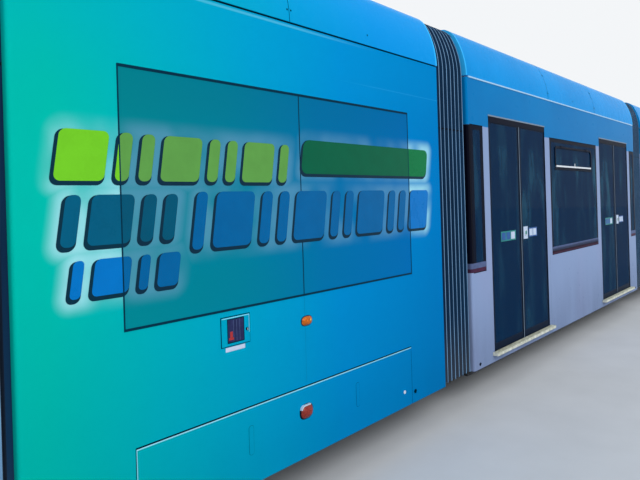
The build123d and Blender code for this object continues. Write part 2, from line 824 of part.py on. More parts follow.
def build_cab_section():
    first = cab_start + cab_first_window
    windows = [
        (first, first + cab_window, centre_sill_z, window_top_z),
        (first + cab_window + cab_window_gap, first + 2 * cab_window + cab_window_gap, centre_sill_z, window_top_z),
    ]
    wall_panel = side_wall(cab_start, cab_joint, windows + [flap_opening(cab_bogie_x)], open_end=False)
    floor, covers = bogie_floor(cab_start, cab_joint, cab_bogie_x, bogie_floor_z)
    beam = block(cab_joint - 500, nose_x - tow_from_tip + 80, -tow_beam_half, tow_beam_half,
                 frame_z - tow_beam_depth, frame_z)
    bore_x = nose_x - tow_from_tip
    floor += beam
    floor -= bar_z(bore_x, 0, tow_bore, frame_z - tow_beam_depth - 1, frame_z + 1)
    for pad in jack_pads([cab_start + jack_pad_from_end]):
        floor += pad
    shell, cab_glass, lamps = nose()
    seat_z = bogie_floor_z + seat_height
    rows = wheel_box_benches(cab_bogie_x) + [
        (cab_start + end_seat_from_gangway, -1, floor_z, floor_z + seat_height),
        (cab_bogie_x + bogie_zone + front_seat_from_bogie, 1, bogie_floor_z, seat_z),
    ]
    driver_x = cab_joint + driver_from_joint
    driver = block(driver_x, driver_x + seat_depth, -driver_half, driver_half,
                   bogie_floor_z, bogie_floor_z + seat_height)
    driver += block(driver_x - driver_back, driver_x, -driver_half, driver_half,
                    bogie_floor_z + driver_back_low, bogie_floor_z + seat_height + driver_back_high)
    return {
        "underframe": [floor] + covers + turntable(pivot_e, 1),
        "side_walls": [wall_panel, mirrored(wall_panel)],
        "roof": roof(cab_start, cab_joint, 6, (0,)),
        "windows": [p for w in windows for p in panes(split(w))] + cab_glass,
        "nose": [shell],
        "lamps": lamps + side_lamps(cab_bogie_x),
        "seats": [seat - floor for seat in benches(rows)] + [driver],
        "roof_units": roof_containers(cab_start, cab_section_length),
        "skirt_flaps": hatch_flaps(cab_bogie_x),
        "bogie": bogie(cab_bogie_x),
    }


def build_centre_section():
    window = (-centre_window / 2, centre_window / 2, centre_sill_z, window_top_z)
    wall_panel = side_wall(-centre_end, centre_end, [window, flap_opening(0)])
    floor, covers = bogie_floor(-centre_end, centre_end, 0, floor_z)
    for pad in jack_pads([-centre_end + 200, centre_end - 200]):
        floor += pad
    return {
        "underframe": [floor] + covers + turntable(pivot_c, -1) + turntable(-pivot_c, 1),
        "side_walls": [wall_panel, mirrored(wall_panel)],
        "roof": roof(-centre_end, centre_end, 4, (0, 1)),
        "windows": panes(split(window)),
        "seats": benches(wheel_box_benches(0)),
        "roof_units": [pantograph_base()],
        "skirt_flaps": hatch_flaps(0),
        "bogie": bogie(0),
        "lamps": side_lamps(0),
    }


# Pantograph
def along(start, length, degrees):
    """The point at a length and an angle above the horizontal from a point in X and Z."""
    run = Vector(length, 0, 0).rotate(Axis.Z, degrees)
    return (start[0] + run.X, start[1] + run.Y)


base_joint = (pan_x, pan_z)
knee_joint = along(base_joint, lower_arm, 180 - lower_arm_rise)
head_joint = along(knee_joint, upper_arm, upper_arm_rise)


def pantograph_base():
    """A roof box, four insulators and the frame that carries the lower arm's pin."""
    x0, x1 = pan_x - 900, pan_x + 320
    y = pan_base_half + pan_ear_gap
    low = pan_box_z + insulator_height
    frame = rounded(x0 - 200, x1 + 200, 640, deck_z, pan_box_z)
    for x in (x0, x1):
        for side in (-1, 1):
            frame += bar_z(x, side * 420, insulator_radius, pan_box_z - 1, low + 1)
        frame += block(x - base_bar / 2, x + base_bar / 2, -480, 480, low, low + base_bar)
    for side in (-1, 1):
        frame += block(x0, x1, side * 420 - base_bar / 2, side * 420 + base_bar / 2, low, low + base_bar)
        cross = block(pan_x - 45, pan_x + 45, side * y, side * 430, low, low + base_bar)
        ear = block(pan_x - 45, pan_x + 45, side * y, side * (y + pan_ear), low, pan_z)
        ear += bar_y(pan_x, pan_z, 45, side * y, side * (y + pan_ear))
        frame += cross + ear
    return frame + bar_y(pan_x, pan_z, pan_pin, -y - pan_ear / 2, y + pan_ear / 2)


def pantograph_lower():
    x, z = knee_joint
    arm = tube((pan_x, 0, pan_z), (x, 0, z), lower_tube)
    arm += bar_y(pan_x, pan_z, pan_bearing, -pan_base_half, pan_base_half)
    arm += bar_y(x, z, pan_bearing, -knee_half, knee_half)
    arm -= bar_y(pan_x, pan_z, pan_pin + pan_running, -pan_base_half - 1, pan_base_half + 1)
    return arm - bar_y(x, z, pan_pin + pan_running, -knee_half - 1, knee_half + 1)


def pantograph_upper():
    x, z = knee_joint
    hx, hz = head_joint
    inner_y = knee_half + knee_fork_gap
    arm = bar_y(x, z, pan_pin, -inner_y - knee_fork / 2, inner_y + knee_fork / 2)
    for side in (-1, 1):
        y = side * (inner_y + knee_fork / 2)
        arm += bar_y(x, z, pan_bearing, side * inner_y, side * (inner_y + knee_fork))
        arm += tube((x, y, z), (hx, side * (head_half - 22), hz), upper_tube)
        arm += bar_y(hx, hz, 2 * head_pin, side * (head_half - 30), side * head_half)
    brace_x, brace_z = along(knee_joint, upper_arm * 0.72, upper_arm_rise)
    spread = inner_y + (head_half - 15 - inner_y) * 0.72
    arm += bar_y(brace_x, brace_z, 10, -spread, spread)
    return arm - bar_y(hx, hz, head_pin + pan_running, -head_half - 1, head_half + 1)


def pantograph_head():
    """Two contact strips with down-turned horns, on a light frame that swings on the upper arm."""
    hx, hz = head_joint
    top = hz + head_rise
    head = bar_y(hx, hz, head_pin, -head_half - 8, head_half + 8)
    for side in (-1, 1):
        y = side * (head_half - 60)
        head += block(hx - 14, hx + 14, y - 8, y + 8, hz, top)
        head += block(hx - head_spread, hx + head_spread, y - 8, y + 8, top - 14, top + 4)
    for end in (-1, 1):
        x = hx + end * head_spread
        head += block(x - strip_width / 2, x + strip_width / 2, -strip_half, strip_half, top, top + strip_height)
        for side in (-1, 1):
            a = (x, side * (strip_half - 20), top + strip_height - horn_radius)
            b = (x, side * (strip_half + horn_reach * 0.55), top + strip_height - horn_radius - horn_drop * 0.35)
            c = (x, side * (strip_half + horn_reach), top + strip_height - horn_radius - horn_drop)
            head += tube(a, b, horn_radius) + tube(b, c, horn_radius) + Pos(*b) * Sphere(horn_radius)
    return head


def main():
    centre, door, cab = build_centre_section(), build_door_section(), build_cab_section()
    for name, shapes in centre.items():
        save(f"{name}_c", shapes)
    for name, shapes in door.items():
        save(f"{name}_d", shapes)
        save(f"{name}_b", turned(shapes))
    for name, shapes in cab.items():
        save(f"{name}_e", shapes)
        save(f"{name}_a", turned(shapes))
    axles = [
        -cab_bogie_x - wheelbase / 2, -cab_bogie_x + wheelbase / 2, -wheelbase / 2,
        wheelbase / 2, cab_bogie_x - wheelbase / 2, cab_bogie_x + wheelbase / 2,
    ]
    for number, x in enumerate(axles, 1):
        save(f"wheelset_{number}", [wheelset(x)])
    for pair, x in (("ab", -pivot_e), ("bc", -pivot_c), ("cd", pivot_c), ("de", pivot_e)):
        save(f"bellows_{pair}", [bellows(x)])
    save("pantograph_lower_arm", [pantograph_lower()])
    save("pantograph_upper_arm", [pantograph_upper()])
    save("pantograph_head", [pantograph_head()])


main()
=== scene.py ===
import math
import bmesh
import bpy
from mathutils import Matrix, Vector
from mathutils.bvhtree import BVHTree


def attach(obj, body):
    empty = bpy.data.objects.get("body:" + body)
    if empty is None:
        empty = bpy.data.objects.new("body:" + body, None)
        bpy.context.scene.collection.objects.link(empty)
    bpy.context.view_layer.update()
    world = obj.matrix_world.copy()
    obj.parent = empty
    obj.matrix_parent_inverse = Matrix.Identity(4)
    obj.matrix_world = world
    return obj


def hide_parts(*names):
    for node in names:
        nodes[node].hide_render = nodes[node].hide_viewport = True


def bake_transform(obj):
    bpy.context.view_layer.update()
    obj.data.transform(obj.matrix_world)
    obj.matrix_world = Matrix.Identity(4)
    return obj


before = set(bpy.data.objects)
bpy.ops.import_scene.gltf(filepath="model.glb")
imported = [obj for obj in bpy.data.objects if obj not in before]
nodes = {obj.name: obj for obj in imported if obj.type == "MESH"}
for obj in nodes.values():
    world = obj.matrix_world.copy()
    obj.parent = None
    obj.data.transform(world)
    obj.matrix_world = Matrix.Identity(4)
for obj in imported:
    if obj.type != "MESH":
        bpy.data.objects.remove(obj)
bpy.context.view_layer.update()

# sizes of the tram in metres: X runs along it, the camera sees its -Y side, Z is up from the rail
HALF = 1.325
CENTRE_END = 1.685
GAP = 0.505
DOOR_START = CENTRE_END + GAP
DOOR_END = DOOR_START + 5.65
DOOR_MIDDLE = (DOOR_START + DOOR_END) / 2
CAB_START = DOOR_END + GAP
CAB_JOINT = CAB_START + 5.76
CAB_BOGIE = CAB_START + 2.9
NOSE = CAB_JOINT + 2.035
PIVOT_C, PIVOT_E = CENTRE_END + GAP / 2, DOOR_END + GAP / 2
WHEELBASE, AXLE_Z = 1.8, 0.353
SKIRT, HATCH_TOP, HATCH_HALF = 0.29, 0.713, 1.17
FLOOR, BOGIE_FLOOR, BOX_TOP, CEILING, DECK, ROOF_BOX = 0.38, 0.46, 0.735, 2.48, 2.64, 3.0
WINDOW_LOW, WINDOW_TOP, GUTTER, FAIRING_LOW = 1.257, 2.455, 2.872, 2.884
CENTRE_WINDOW = (-1.207, 1.207, WINDOW_LOW, WINDOW_TOP)
END_MARGIN, END_WINDOW = 0.042, 0.24
DOORS = [(DOOR_START + 0.412, DOOR_START + 1.827), (DOOR_END - 1.827, DOOR_END - 0.412)]
DOOR_LOW, DOOR_TOP, SILL_REACH, SILL_OVERHANG = 0.381, 2.572, 0.052, 0.04
DOOR_WINDOWS = [(a, b, 1.15, WINDOW_TOP) for a, b in (
    (DOOR_START + END_MARGIN, DOOR_START + END_MARGIN + END_WINDOW),
    (DOORS[0][1] + 0.15, DOORS[1][0] - 0.15),
    (DOOR_END - END_MARGIN - END_WINDOW, DOOR_END - END_MARGIN))]
CAB_FIRST = CAB_START + 0.47
CAB_WINDOWS = [(CAB_FIRST + a, CAB_FIRST + a + 2.414, WINDOW_LOW, WINDOW_TOP) for a in (0.0, 2.544)]
HOPPER_LOW, HOPPER_TOP = 2.13, 2.375
BAND_SPLIT, BAND_HIGH = 0.034, 0.082  # the two-colour band along the foot of the side windows
LAMP_Z, REFLECTOR_Z = 1.10, 0.563
UP, OUT = (0, 0, 1), (0, -1, 0)

# sections as suffix, body, and whether the section is a turned copy
SECTION_C = [("c", "section_c", False)]
SECTIONS_DB = [("d", "section_d", False), ("b", "section_b", True)]
SECTIONS_EA = [("e", "section_e", False), ("a", "section_a", True)]

# rows of the printed pattern: colour, low and high z, corner radius, and where each bar starts and ends in X
PRINT_ROWS = [
    ("lime", 1.930, 2.150, 0.030, [(-1.50, -1.27), (-1.22, -1.15), (-1.10, -1.03), (-0.98, -0.75), (-0.70, -0.63),
                                   (-0.58, -0.51), (-0.46, -0.23), (-0.18, -0.11)]),
    ("green", 1.985, 2.190, 0.050, [(0.02, 1.47)]),
    ("sky", 1.590, 1.880, 0.036, [(-0.80, -0.73), (-0.67, -0.40), (-0.34, -0.26), (-0.20, -0.12), (-0.06, 0.22),
                                  (0.28, 0.36), (0.42, 0.50), (0.56, 0.86), (0.92, 1.00), (1.06, 1.14), (1.20, 1.46)]),
    ("teal", 1.650, 1.870, 0.030, [(-1.48, -1.41), (-1.36, -1.15), (-1.10, -1.03), (-0.98, -0.91)]),
    ("sky", 1.430, 1.590, 0.026, [(-1.45, -1.40), (-1.35, -1.17), (-1.12, -1.07), (-1.02, -0.90)]),
]
PRINT_LEAN = 0.16


def srgb(r, g, b):
    return tuple(((c / 255) / 12.92 if c <= 10 else ((c / 255 + 0.055) / 1.055) ** 2.4) for c in (r, g, b))


def spread(a, b, count):
    """Even places from a to b, both included."""
    return [a + (b - a) * k / (count - 1) for k in range(count)]


def spokes(count, radius, first=0.0):
    """Points on a circle round the origin, as pairs."""
    turns = [first + 2 * math.pi * k / count for k in range(count)]
    return [(radius * math.cos(a), radius * math.sin(a)) for a in turns]


# ---------------- materials
class Value:
    """An output of a node that takes part in sums. Each sign adds one Math node."""

    def __init__(self, tree, socket):
        self.tree, self.socket = tree, socket

    def __add__(self, other):
        return self.tree.math("ADD", self, other)

    def __sub__(self, other):
        return self.tree.math("SUBTRACT", self, other)

    def __rsub__(self, other):
        return self.tree.math("SUBTRACT", other, self)

    def __mul__(self, other):
        return self.tree.math("MULTIPLY", self, other)

    def __truediv__(self, other):
        return self.tree.math("DIVIDE", self, other)

    def __pow__(self, other):
        return self.tree.math("POWER", self, other)

    def __abs__(self):
        return self.tree.math("ABSOLUTE", self)


class Tree:
    """A node tree, with short names for the nodes used here."""

    def __init__(self, tree):
        self.nodes, self.links = tree.nodes, tree.links

    def set(self, socket, value):
        if isinstance(value, Value):
            self.links.new(value.socket, socket)
        elif isinstance(value, tuple) and len(value) == 3 and len(socket.default_value) == 4:
            socket.default_value = (*value, 1)
        else:
            socket.default_value = value

    def add(self, kind, inputs, output=0, **settings):
        node = self.nodes.new(f"ShaderNode{kind}")
        for key, value in settings.items():
            setattr(node, key, value)
        for key, value in inputs.items():
            self.set(node.inputs[key], value)
        return Value(self, node.outputs[output])

    def math(self, op, a, b=0.0, clamp=False):
        return self.add("Math", {0: a, 1: b}, operation=op, use_clamp=clamp)

    def ramp(self, value, stops):
        node = self.nodes.new("ShaderNodeValToRGB")
        points = node.color_ramp.elements
        while len(points) < len(stops):
            points.new(0.5)
        for point, (place, colour) in zip(points, stops):
            point.position, point.color = place, (*colour, 1)
        self.set(node.inputs[0], value)
        return Value(self, node.outputs[0])


class Shader(Tree):
    """A Principled material. x, y and z are the place in the part's frame at rest."""

    def __init__(self, name, rough=0.4, metal=0.0, alpha=1.0, coat=0.0, sheen=0.0, specular=0.5):
        self.mat = bpy.data.materials.new(name)
        self.mat.use_nodes = True
        super().__init__(self.mat.node_tree)
        self.inputs = self.nodes["Principled BSDF"].inputs
        values = {"Roughness": rough, "Metallic": metal, "Alpha": alpha, "Coat Weight": coat, "Sheen Weight": sheen,
                  "Specular IOR Level": specular}
        if coat:
            values["Coat Roughness"] = 0.04
        for key, value in values.items():
            self.inputs[key].default_value = value
        self.coords = self.add("TexCoord", {}, "Object")
        self.x, self.y, self.z = (self.add("SeparateXYZ", {0: self.coords}, axis) for axis in "XYZ")

    def ease(self, value, low, high):
        """0 below low, 1 above high, smooth between them."""
        return self.add("MapRange", {0: value, 1: low, 2: high}, interpolation_type="SMOOTHSTEP")

    def noise(self, scale, detail=4.0, stretch=(1, 1, 1), rough=0.55):
        place = self.add("Mapping", {"Vector": self.coords, "Scale": stretch})
        return self.add("TexNoise", {"Vector": place, "Scale": scale, "Detail": detail, "Roughness": rough}, "Fac")

    def mix(self, factor, a, b):
        return self.add("Mix", {0: factor, 6: a, 7: b}, 2, data_type="RGBA")

    def colour(self, value):
        self.set(self.inputs["Base Color"], value)

    def rough(self, value, low, high):
        self.set(self.inputs["Roughness"], value * (high - low) + low)

    def bump(self, height, strength, distance=0.001, edge=0.0):
        inputs = {"Strength": strength, "Distance": distance, "Height": height}
        if edge:
            inputs["Normal"] = self.add("Bevel", {"Radius": edge}, samples=4)
        self.set(self.inputs["Normal"], self.add("Bump", inputs))

    def grime(self, colour, low=0.29, high=0.85, amount=0.5, tint=(0.10, 0.095, 0.085)):
        """Road dirt that thins out upwards from the skirt."""
        streaks = self.noise(3.5, 6.0, (1, 1, 0.25)) * (amount * 1.6)
        fade = self.math("MULTIPLY", (1.0 - self.ease(self.z, low, high)) ** 1.6, streaks, True)
        return self.mix(fade, colour, tint)

    def lacquered(self, low, high, strength, wave=1.3):
        """Gloss over slightly wavy sheet with a fine orange peel."""
        self.rough(self.noise(9, 4), low, high)
        self.bump(self.noise(wave, 3.0) + self.noise(260, 2) * 0.03, strength, 0.004, 0.003)
        return self.mat


def plain(name, rgb, rough=0.45, metal=0.0, grain=60.0, vary=0.18, bump=0.15, coat=0.0, edge=0.0,
          stretch=(1, 1, 1), specular=0.5):
    """One colour, a little darker and lighter in grains."""
    s = Shader(name, rough, metal, coat=coat, specular=specular)
    cloud = s.noise(grain, 5.0, stretch)
    dark = tuple(c * (1 - vary) for c in srgb(*rgb))
    light = tuple(min(1.0, c * (1 + vary)) for c in srgb(*rgb))
    s.colour(s.ramp(cloud, [(0.3, dark), (0.7, light)]))
    s.rough(cloud, max(0.02, rough - 0.08), min(1.0, rough + 0.08))
    s.bump(cloud, bump, 0.0008, edge)
    return s.mat


WRAP = [(0.04, srgb(0, 192, 174)), (0.20, srgb(0, 180, 192)), (0.40, srgb(0, 162, 206)), (0.62, srgb(0, 142, 210)),
        (1.0, srgb(0, 122, 194))]
WRAP_TOP = [(0.04, srgb(0, 192, 176)), (0.24, srgb(0, 178, 196)), (0.50, srgb(0, 158, 216)),
            (0.75, srgb(0, 150, 226)), (1.0, srgb(0, 150, 228))]
WRAP_DARK = [(0.12, srgb(0, 136, 144)), (0.34, srgb(0, 128, 152)), (0.56, srgb(0, 114, 166)),
             (0.85, srgb(0, 108, 176))]
WHITE, BAND, BAND_LOW, BAND_TOP = srgb(140, 161, 198), srgb(0, 130, 196), srgb(0, 122, 188), srgb(0, 150, 226)


def centre_gradient(s, stops):
    """The wrap turns from teal to blue along the section."""
    along = (s.x + CENTRE_END) / (2 * CENTRE_END)
    return s.ramp(along + (s.noise(0.9, 2.0) - 0.5) * 0.08, stops)


def print_glow(s, colour, glow, strength):
    """A pale glow round each row of the printed pattern, on the outer skin only."""
    total = 0.0
    for _, low, high, _, places in PRINT_ROWS:
        half = (places[-1][1] - places[0][0]) / 2
        rise = s.z - (low + high) / 2
        across = abs(s.x - (rise * PRINT_LEAN + (places[0][0] + half)))
        beside = s.math("MAXIMUM", across - (half - 0.02), 0.0)
        above = s.math("MAXIMUM", abs(rise) - ((high - low) / 2 - 0.02), 0.0)
        away = s.math("SQRT", beside ** 2.0 + above ** 2.0)
        total = s.math("MAXIMUM", total, 1.0 - s.ease(away, 0.02, 0.105))
    skin = s.ease(abs(s.y), HALF - 0.020, HALF - 0.018)
    patchy = s.ease(s.noise(2.4, 2.0), 0.30, 0.62) * strength
    return s.mix(total * skin * patchy, colour, glow)


def paint_centre():
    """The centre section's wrap, with painted shade towards its foot, painted light towards its top, and two faint pale
    lines near its top: a seam of the wrap and a painted highlight under the gutter.
    """
    s = Shader("wrap_centre", 0.28, coat=0.03, specular=0.0)
    colour = centre_gradient(s, WRAP)
    colour = s.mix(s.noise(14, 5) * 0.06, colour, srgb(0, 96, 126))
    # painted shade: the wrap darkens towards its foot
    colour = s.mix((1.0 - s.ease(s.z, 0.25, 1.9)) * 0.24, colour, srgb(0, 84, 120))
    # painted light: the wrap lightens towards its top
    colour = s.mix(s.ease(s.z, 2.2, 2.87) * 0.20, colour, srgb(0, 160, 224))
    colour = s.grime(colour, amount=0.14, tint=srgb(0, 70, 96))
    line = (1.0 - s.ease(abs(s.z - 2.600), 0.0008, 0.004)) * s.ease(s.x, 0.2, 0.9)
    colour = s.mix(line * 0.30, colour, srgb(60, 176, 226))
    # a painted highlight under the gutter, fading along the section
    line = (1.0 - s.ease(abs(s.z - (GUTTER - 0.016)), 0.003, 0.010)) * (1.0 - s.ease(s.x, -0.2, 0.9))
    colour = s.mix(line * 0.35, colour, srgb(120, 214, 232))
    s.colour(print_glow(s, colour, srgb(176, 236, 244), 0.78))
    return s.lacquered(0.20, 0.34, 0.25)


def film_centre():
    """Printed film with fine holes over the centre section's glass: the wrap's colours, much darker."""
    s = Shader("window_film", 0.14, coat=0.05, specular=0.0)
    colour = s.mix(s.ease(s.z, 1.9, 2.5) * 0.20, centre_gradient(s, WRAP_DARK), srgb(0, 90, 110))
    holes = s.add("TexVoronoi", {"Vector": s.coords, "Scale": 420.0, "Randomness": 0.12}, "Distance")
    colour = s.mix((1.0 - s.ease(holes, 0.22, 0.30)) * 0.22, colour, srgb(0, 40, 60))
    s.colour(print_glow(s, colour, srgb(104, 160, 192), 0.52))
    s.bump(s.noise(0.8, 2.0), 0.12, 0.004)
    return s.mat


def paint_section(name, ends=False):
    """Blue above the windows, pale below them. With ends, the end windows' dark border and the two-colour band
    run on to a door section's ends."""
    s = Shader(name, 0.3, coat=0.04, specular=0.01)
    blue = s.mix(s.ease(s.noise(1.1, 3), 0.35, 0.7), BAND, BAND_LOW)
    blue = s.mix(s.ease(s.z, 2.45, 2.87) * 0.5, s.mix(0.35, blue, srgb(0, 100, 164)), blue)
    pale = s.mix(s.noise(3, 5) * 0.30, WHITE, srgb(130, 148, 188))
    pale = s.mix(s.ease(s.noise(0.8, 2, (1, 1, 0.5)), 0.45, 0.75), pale, srgb(146, 158, 196))
    pale = s.grime(pale, 0.29, 1.3, 0.46, srgb(84, 96, 124))
    colour = s.mix(s.ease(s.z, WINDOW_TOP - 0.001, WINDOW_TOP + 0.001), pale, blue)
    if ends:
        reach = (DOOR_END - DOOR_START) / 2 - END_MARGIN
        side = s.ease(abs(abs(s.x) - DOOR_MIDDLE), reach - 0.0005, reach + 0.0005)
        low = DOOR_WINDOWS[0][2]
        for bottom, tint in ((low, srgb(66, 38, 62)), (low + BAND_SPLIT, srgb(84, 96, 132)),
                             (low + BAND_HIGH, srgb(8, 10, 24))):
            above = s.ease(s.z, bottom - 0.0005, bottom + 0.0005)
            below = 1.0 - s.ease(s.z, WINDOW_TOP - 0.001, WINDOW_TOP)
            colour = s.mix(side * (above * below), colour, tint)
    s.colour(colour)
    return s.lacquered(0.22, 0.38, 0.22)


def paint_roof(name, centre=False):
    """Curved fairings in the section's blue, with a painted highlight on their rounded ends and end faces. The flat
    deck between them is grey.
    """
    s = Shader(name, 0.28, coat=0.04, specular=0.01)
    if centre:
        skin = centre_gradient(s, WRAP_TOP)
        along, reach = abs(s.x), CENTRE_END
    else:
        skin = s.mix(s.ease(s.noise(1.0, 3), 0.35, 0.7), BAND_TOP, srgb(0, 142, 216))
        along, reach = abs(abs(s.x) - DOOR_MIDDLE), (DOOR_END - DOOR_START) / 2
    # painted highlight on the fairings' rounded ends and end faces
    rim = s.ease(along, reach - 0.026, reach - 0.016) * s.math("LESS_THAN", along, reach + 0.001)
    skin = s.mix(rim * 0.85, skin, srgb(56, 190, 255))
    deck = s.ease(abs(s.y), 0.985, 0.992) * s.ease(s.z, 2.8, 2.81)
    grey = s.mix(s.noise(6, 6), srgb(96, 100, 104), srgb(134, 136, 136))
    s.colour(s.mix(deck, grey, skin))
    return s.lacquered(0.18, 0.36, 0.2, 1.2)


def paint_nose():
    """Blue brow, pale lower body and a black mask that runs on from the windscreen."""
    s = Shader("nose_paint", 0.24, coat=0.05, specular=0.02)
    blue = s.mix(s.ease(s.noise(1.1, 3), 0.35, 0.7), BAND, BAND_LOW)
    blue = s.mix(s.ease(s.z, GUTTER - 0.002, GUTTER + 0.002), blue, BAND_TOP)
    pale = s.mix(s.noise(8, 5) * 0.25, WHITE, srgb(140, 152, 194))
    pale = s.grime(pale, 0.29, 1.0, 0.42, srgb(92, 94, 118))
    colour = s.mix(s.ease(s.z, WINDOW_TOP - 0.001, WINDOW_TOP + 0.001), pale, blue)
    mask = s.ease(abs(s.x) + s.z * 0.34, NOSE - 0.345, NOSE - 0.335) * s.ease(s.z, 1.10, 1.103)
    mask = mask * (1.0 - s.ease(s.z, 2.985, 2.99))
    s.colour(s.mix(mask, colour, srgb(18, 21, 28)))
    s.rough(s.noise(9, 4), 0.12, 0.28)
    s.bump(s.noise(1.3, 3.0), 0.15, 0.004, 0.004)
    return s.mat


def tinted(name, colour, alpha, streak):
    """Dark glass with painted reflections: soft upright streaks, as if it mirrored a street."""
    s = Shader(name, 0.08, alpha=alpha, coat=0.10, specular=0.0)
    upright = s.ease(s.noise(1.0, 3.0, (3.4, 3.4, 0.22), 0.6), 0.40, 0.72)
    broken = s.ease(s.noise(2.2, 4.0, (2.0, 2.0, 0.6)), 0.42, 0.66)
    # the painted reflections are strongest between about 1.1 m and 2.3 m up
    skyline = s.ease(s.z, 1.1, 1.9) * (1.0 - s.ease(s.z, 2.22, 2.34))
    s.colour(s.mix(upright * broken * (skyline * 0.65 + 0.35), colour, streak))
    s.bump(s.noise(0.9, 2.0), 0.10, 0.004)
    return s.mat


def fabric(name, base, accent):
    """Woven seat cloth with a small two-colour figure."""
    s = Shader(name, 0.9, sheen=0.35)
    warp, weft = (s.add("TexWave", {"Vector": s.coords, "Scale": 160}, "Fac", bands_direction=way)
                  for way in ("Y", "DIAGONAL"))
    weave = warp * weft
    cells = s.add("TexVoronoi", {"Vector": s.coords, "Scale": 26}, "Distance")
    figure = 1.0 - s.ease(cells, 0.16, 0.2)
    s.colour(s.mix(figure * 0.8, s.mix(weave, base, tuple(c * 1.7 for c in base)), accent))
    s.bump(weave, 0.5, 0.0008)
    return s.mat


def paint_lamps():
    """Smoked cover over the headlamps, clear at the brow, orange and red for the lamps on the sides."""
    s = Shader("lamp_cover", 0.08, coat=0.3, specular=0.4)
    smoke = s.mix(s.noise(30, 3), srgb(34, 40, 48), srgb(56, 62, 70))
    clear = s.mix(s.noise(160, 3), srgb(196, 204, 214), srgb(222, 228, 234))
    flank = s.mix(s.ease(s.z, 0.8, 0.9), srgb(136, 44, 34), srgb(196, 96, 6))
    side = s.ease(abs(s.y), HALF - 0.003, HALF - 0.001)
    s.colour(s.mix(side, s.mix(s.ease(s.z, 2.0, 2.1), smoke, clear), flank))
    s.bump(s.noise(200, 3), 0.3, 0.0008)
    return s.mat


def pleat_cloth():
    """Coated bellows cloth: navy, dusty on the folds, with one darker joint round it."""
    s = Shader("bellows_cloth", 0.7, sheen=0.05, specular=0.1)
    colour = s.mix(s.noise(5, 6, (1, 1, 0.2)), srgb(0, 26, 52), srgb(14, 56, 90))
    joint = 1.0 - s.ease(abs(s.z - 2.39), 0.004, 0.008)
    s.colour(s.mix(joint, s.grime(colour, 0.3, 1.0, 0.5), srgb(10, 14, 24)))
    s.bump(s.noise(320, 3), 0.4, 0.0006)
    return s.mat


def worn_metal(s):
    """The pattern and the colour of trodden pale metal."""
    pattern = s.noise(20, 6, (1, 3, 1))
    return pattern, s.ramp(pattern, [(0.3, srgb(176, 180, 160)), (0.7, srgb(226, 228, 214))])


def paint_underframe():
    """Dark dusty paint. The door sills, which stand out from the walls, are bare pressed metal."""
    s = Shader("underframe_paint", 0.7, specular=0.3)
    cloud = s.noise(8, 5.0)
    dark = s.ramp(cloud, [(0.3, srgb(30, 32, 35)), (0.7, srgb(58, 60, 64))])
    s.colour(s.mix(s.ease(abs(s.y), HALF + 0.0005, HALF + 0.001), dark, worn_metal(s)[1]))
    s.bump(cloud, 0.4, 0.0008)
    return s.mat


def tread_metal():
    s = Shader("sill_tread", 0.42, 0.55)
    pattern, colour = worn_metal(s)
    s.colour(colour)
    s.rough(pattern, 0.3, 0.55)
    s.bump(s.noise(180, 3), 0.3, 0.0006)
    return s.mat


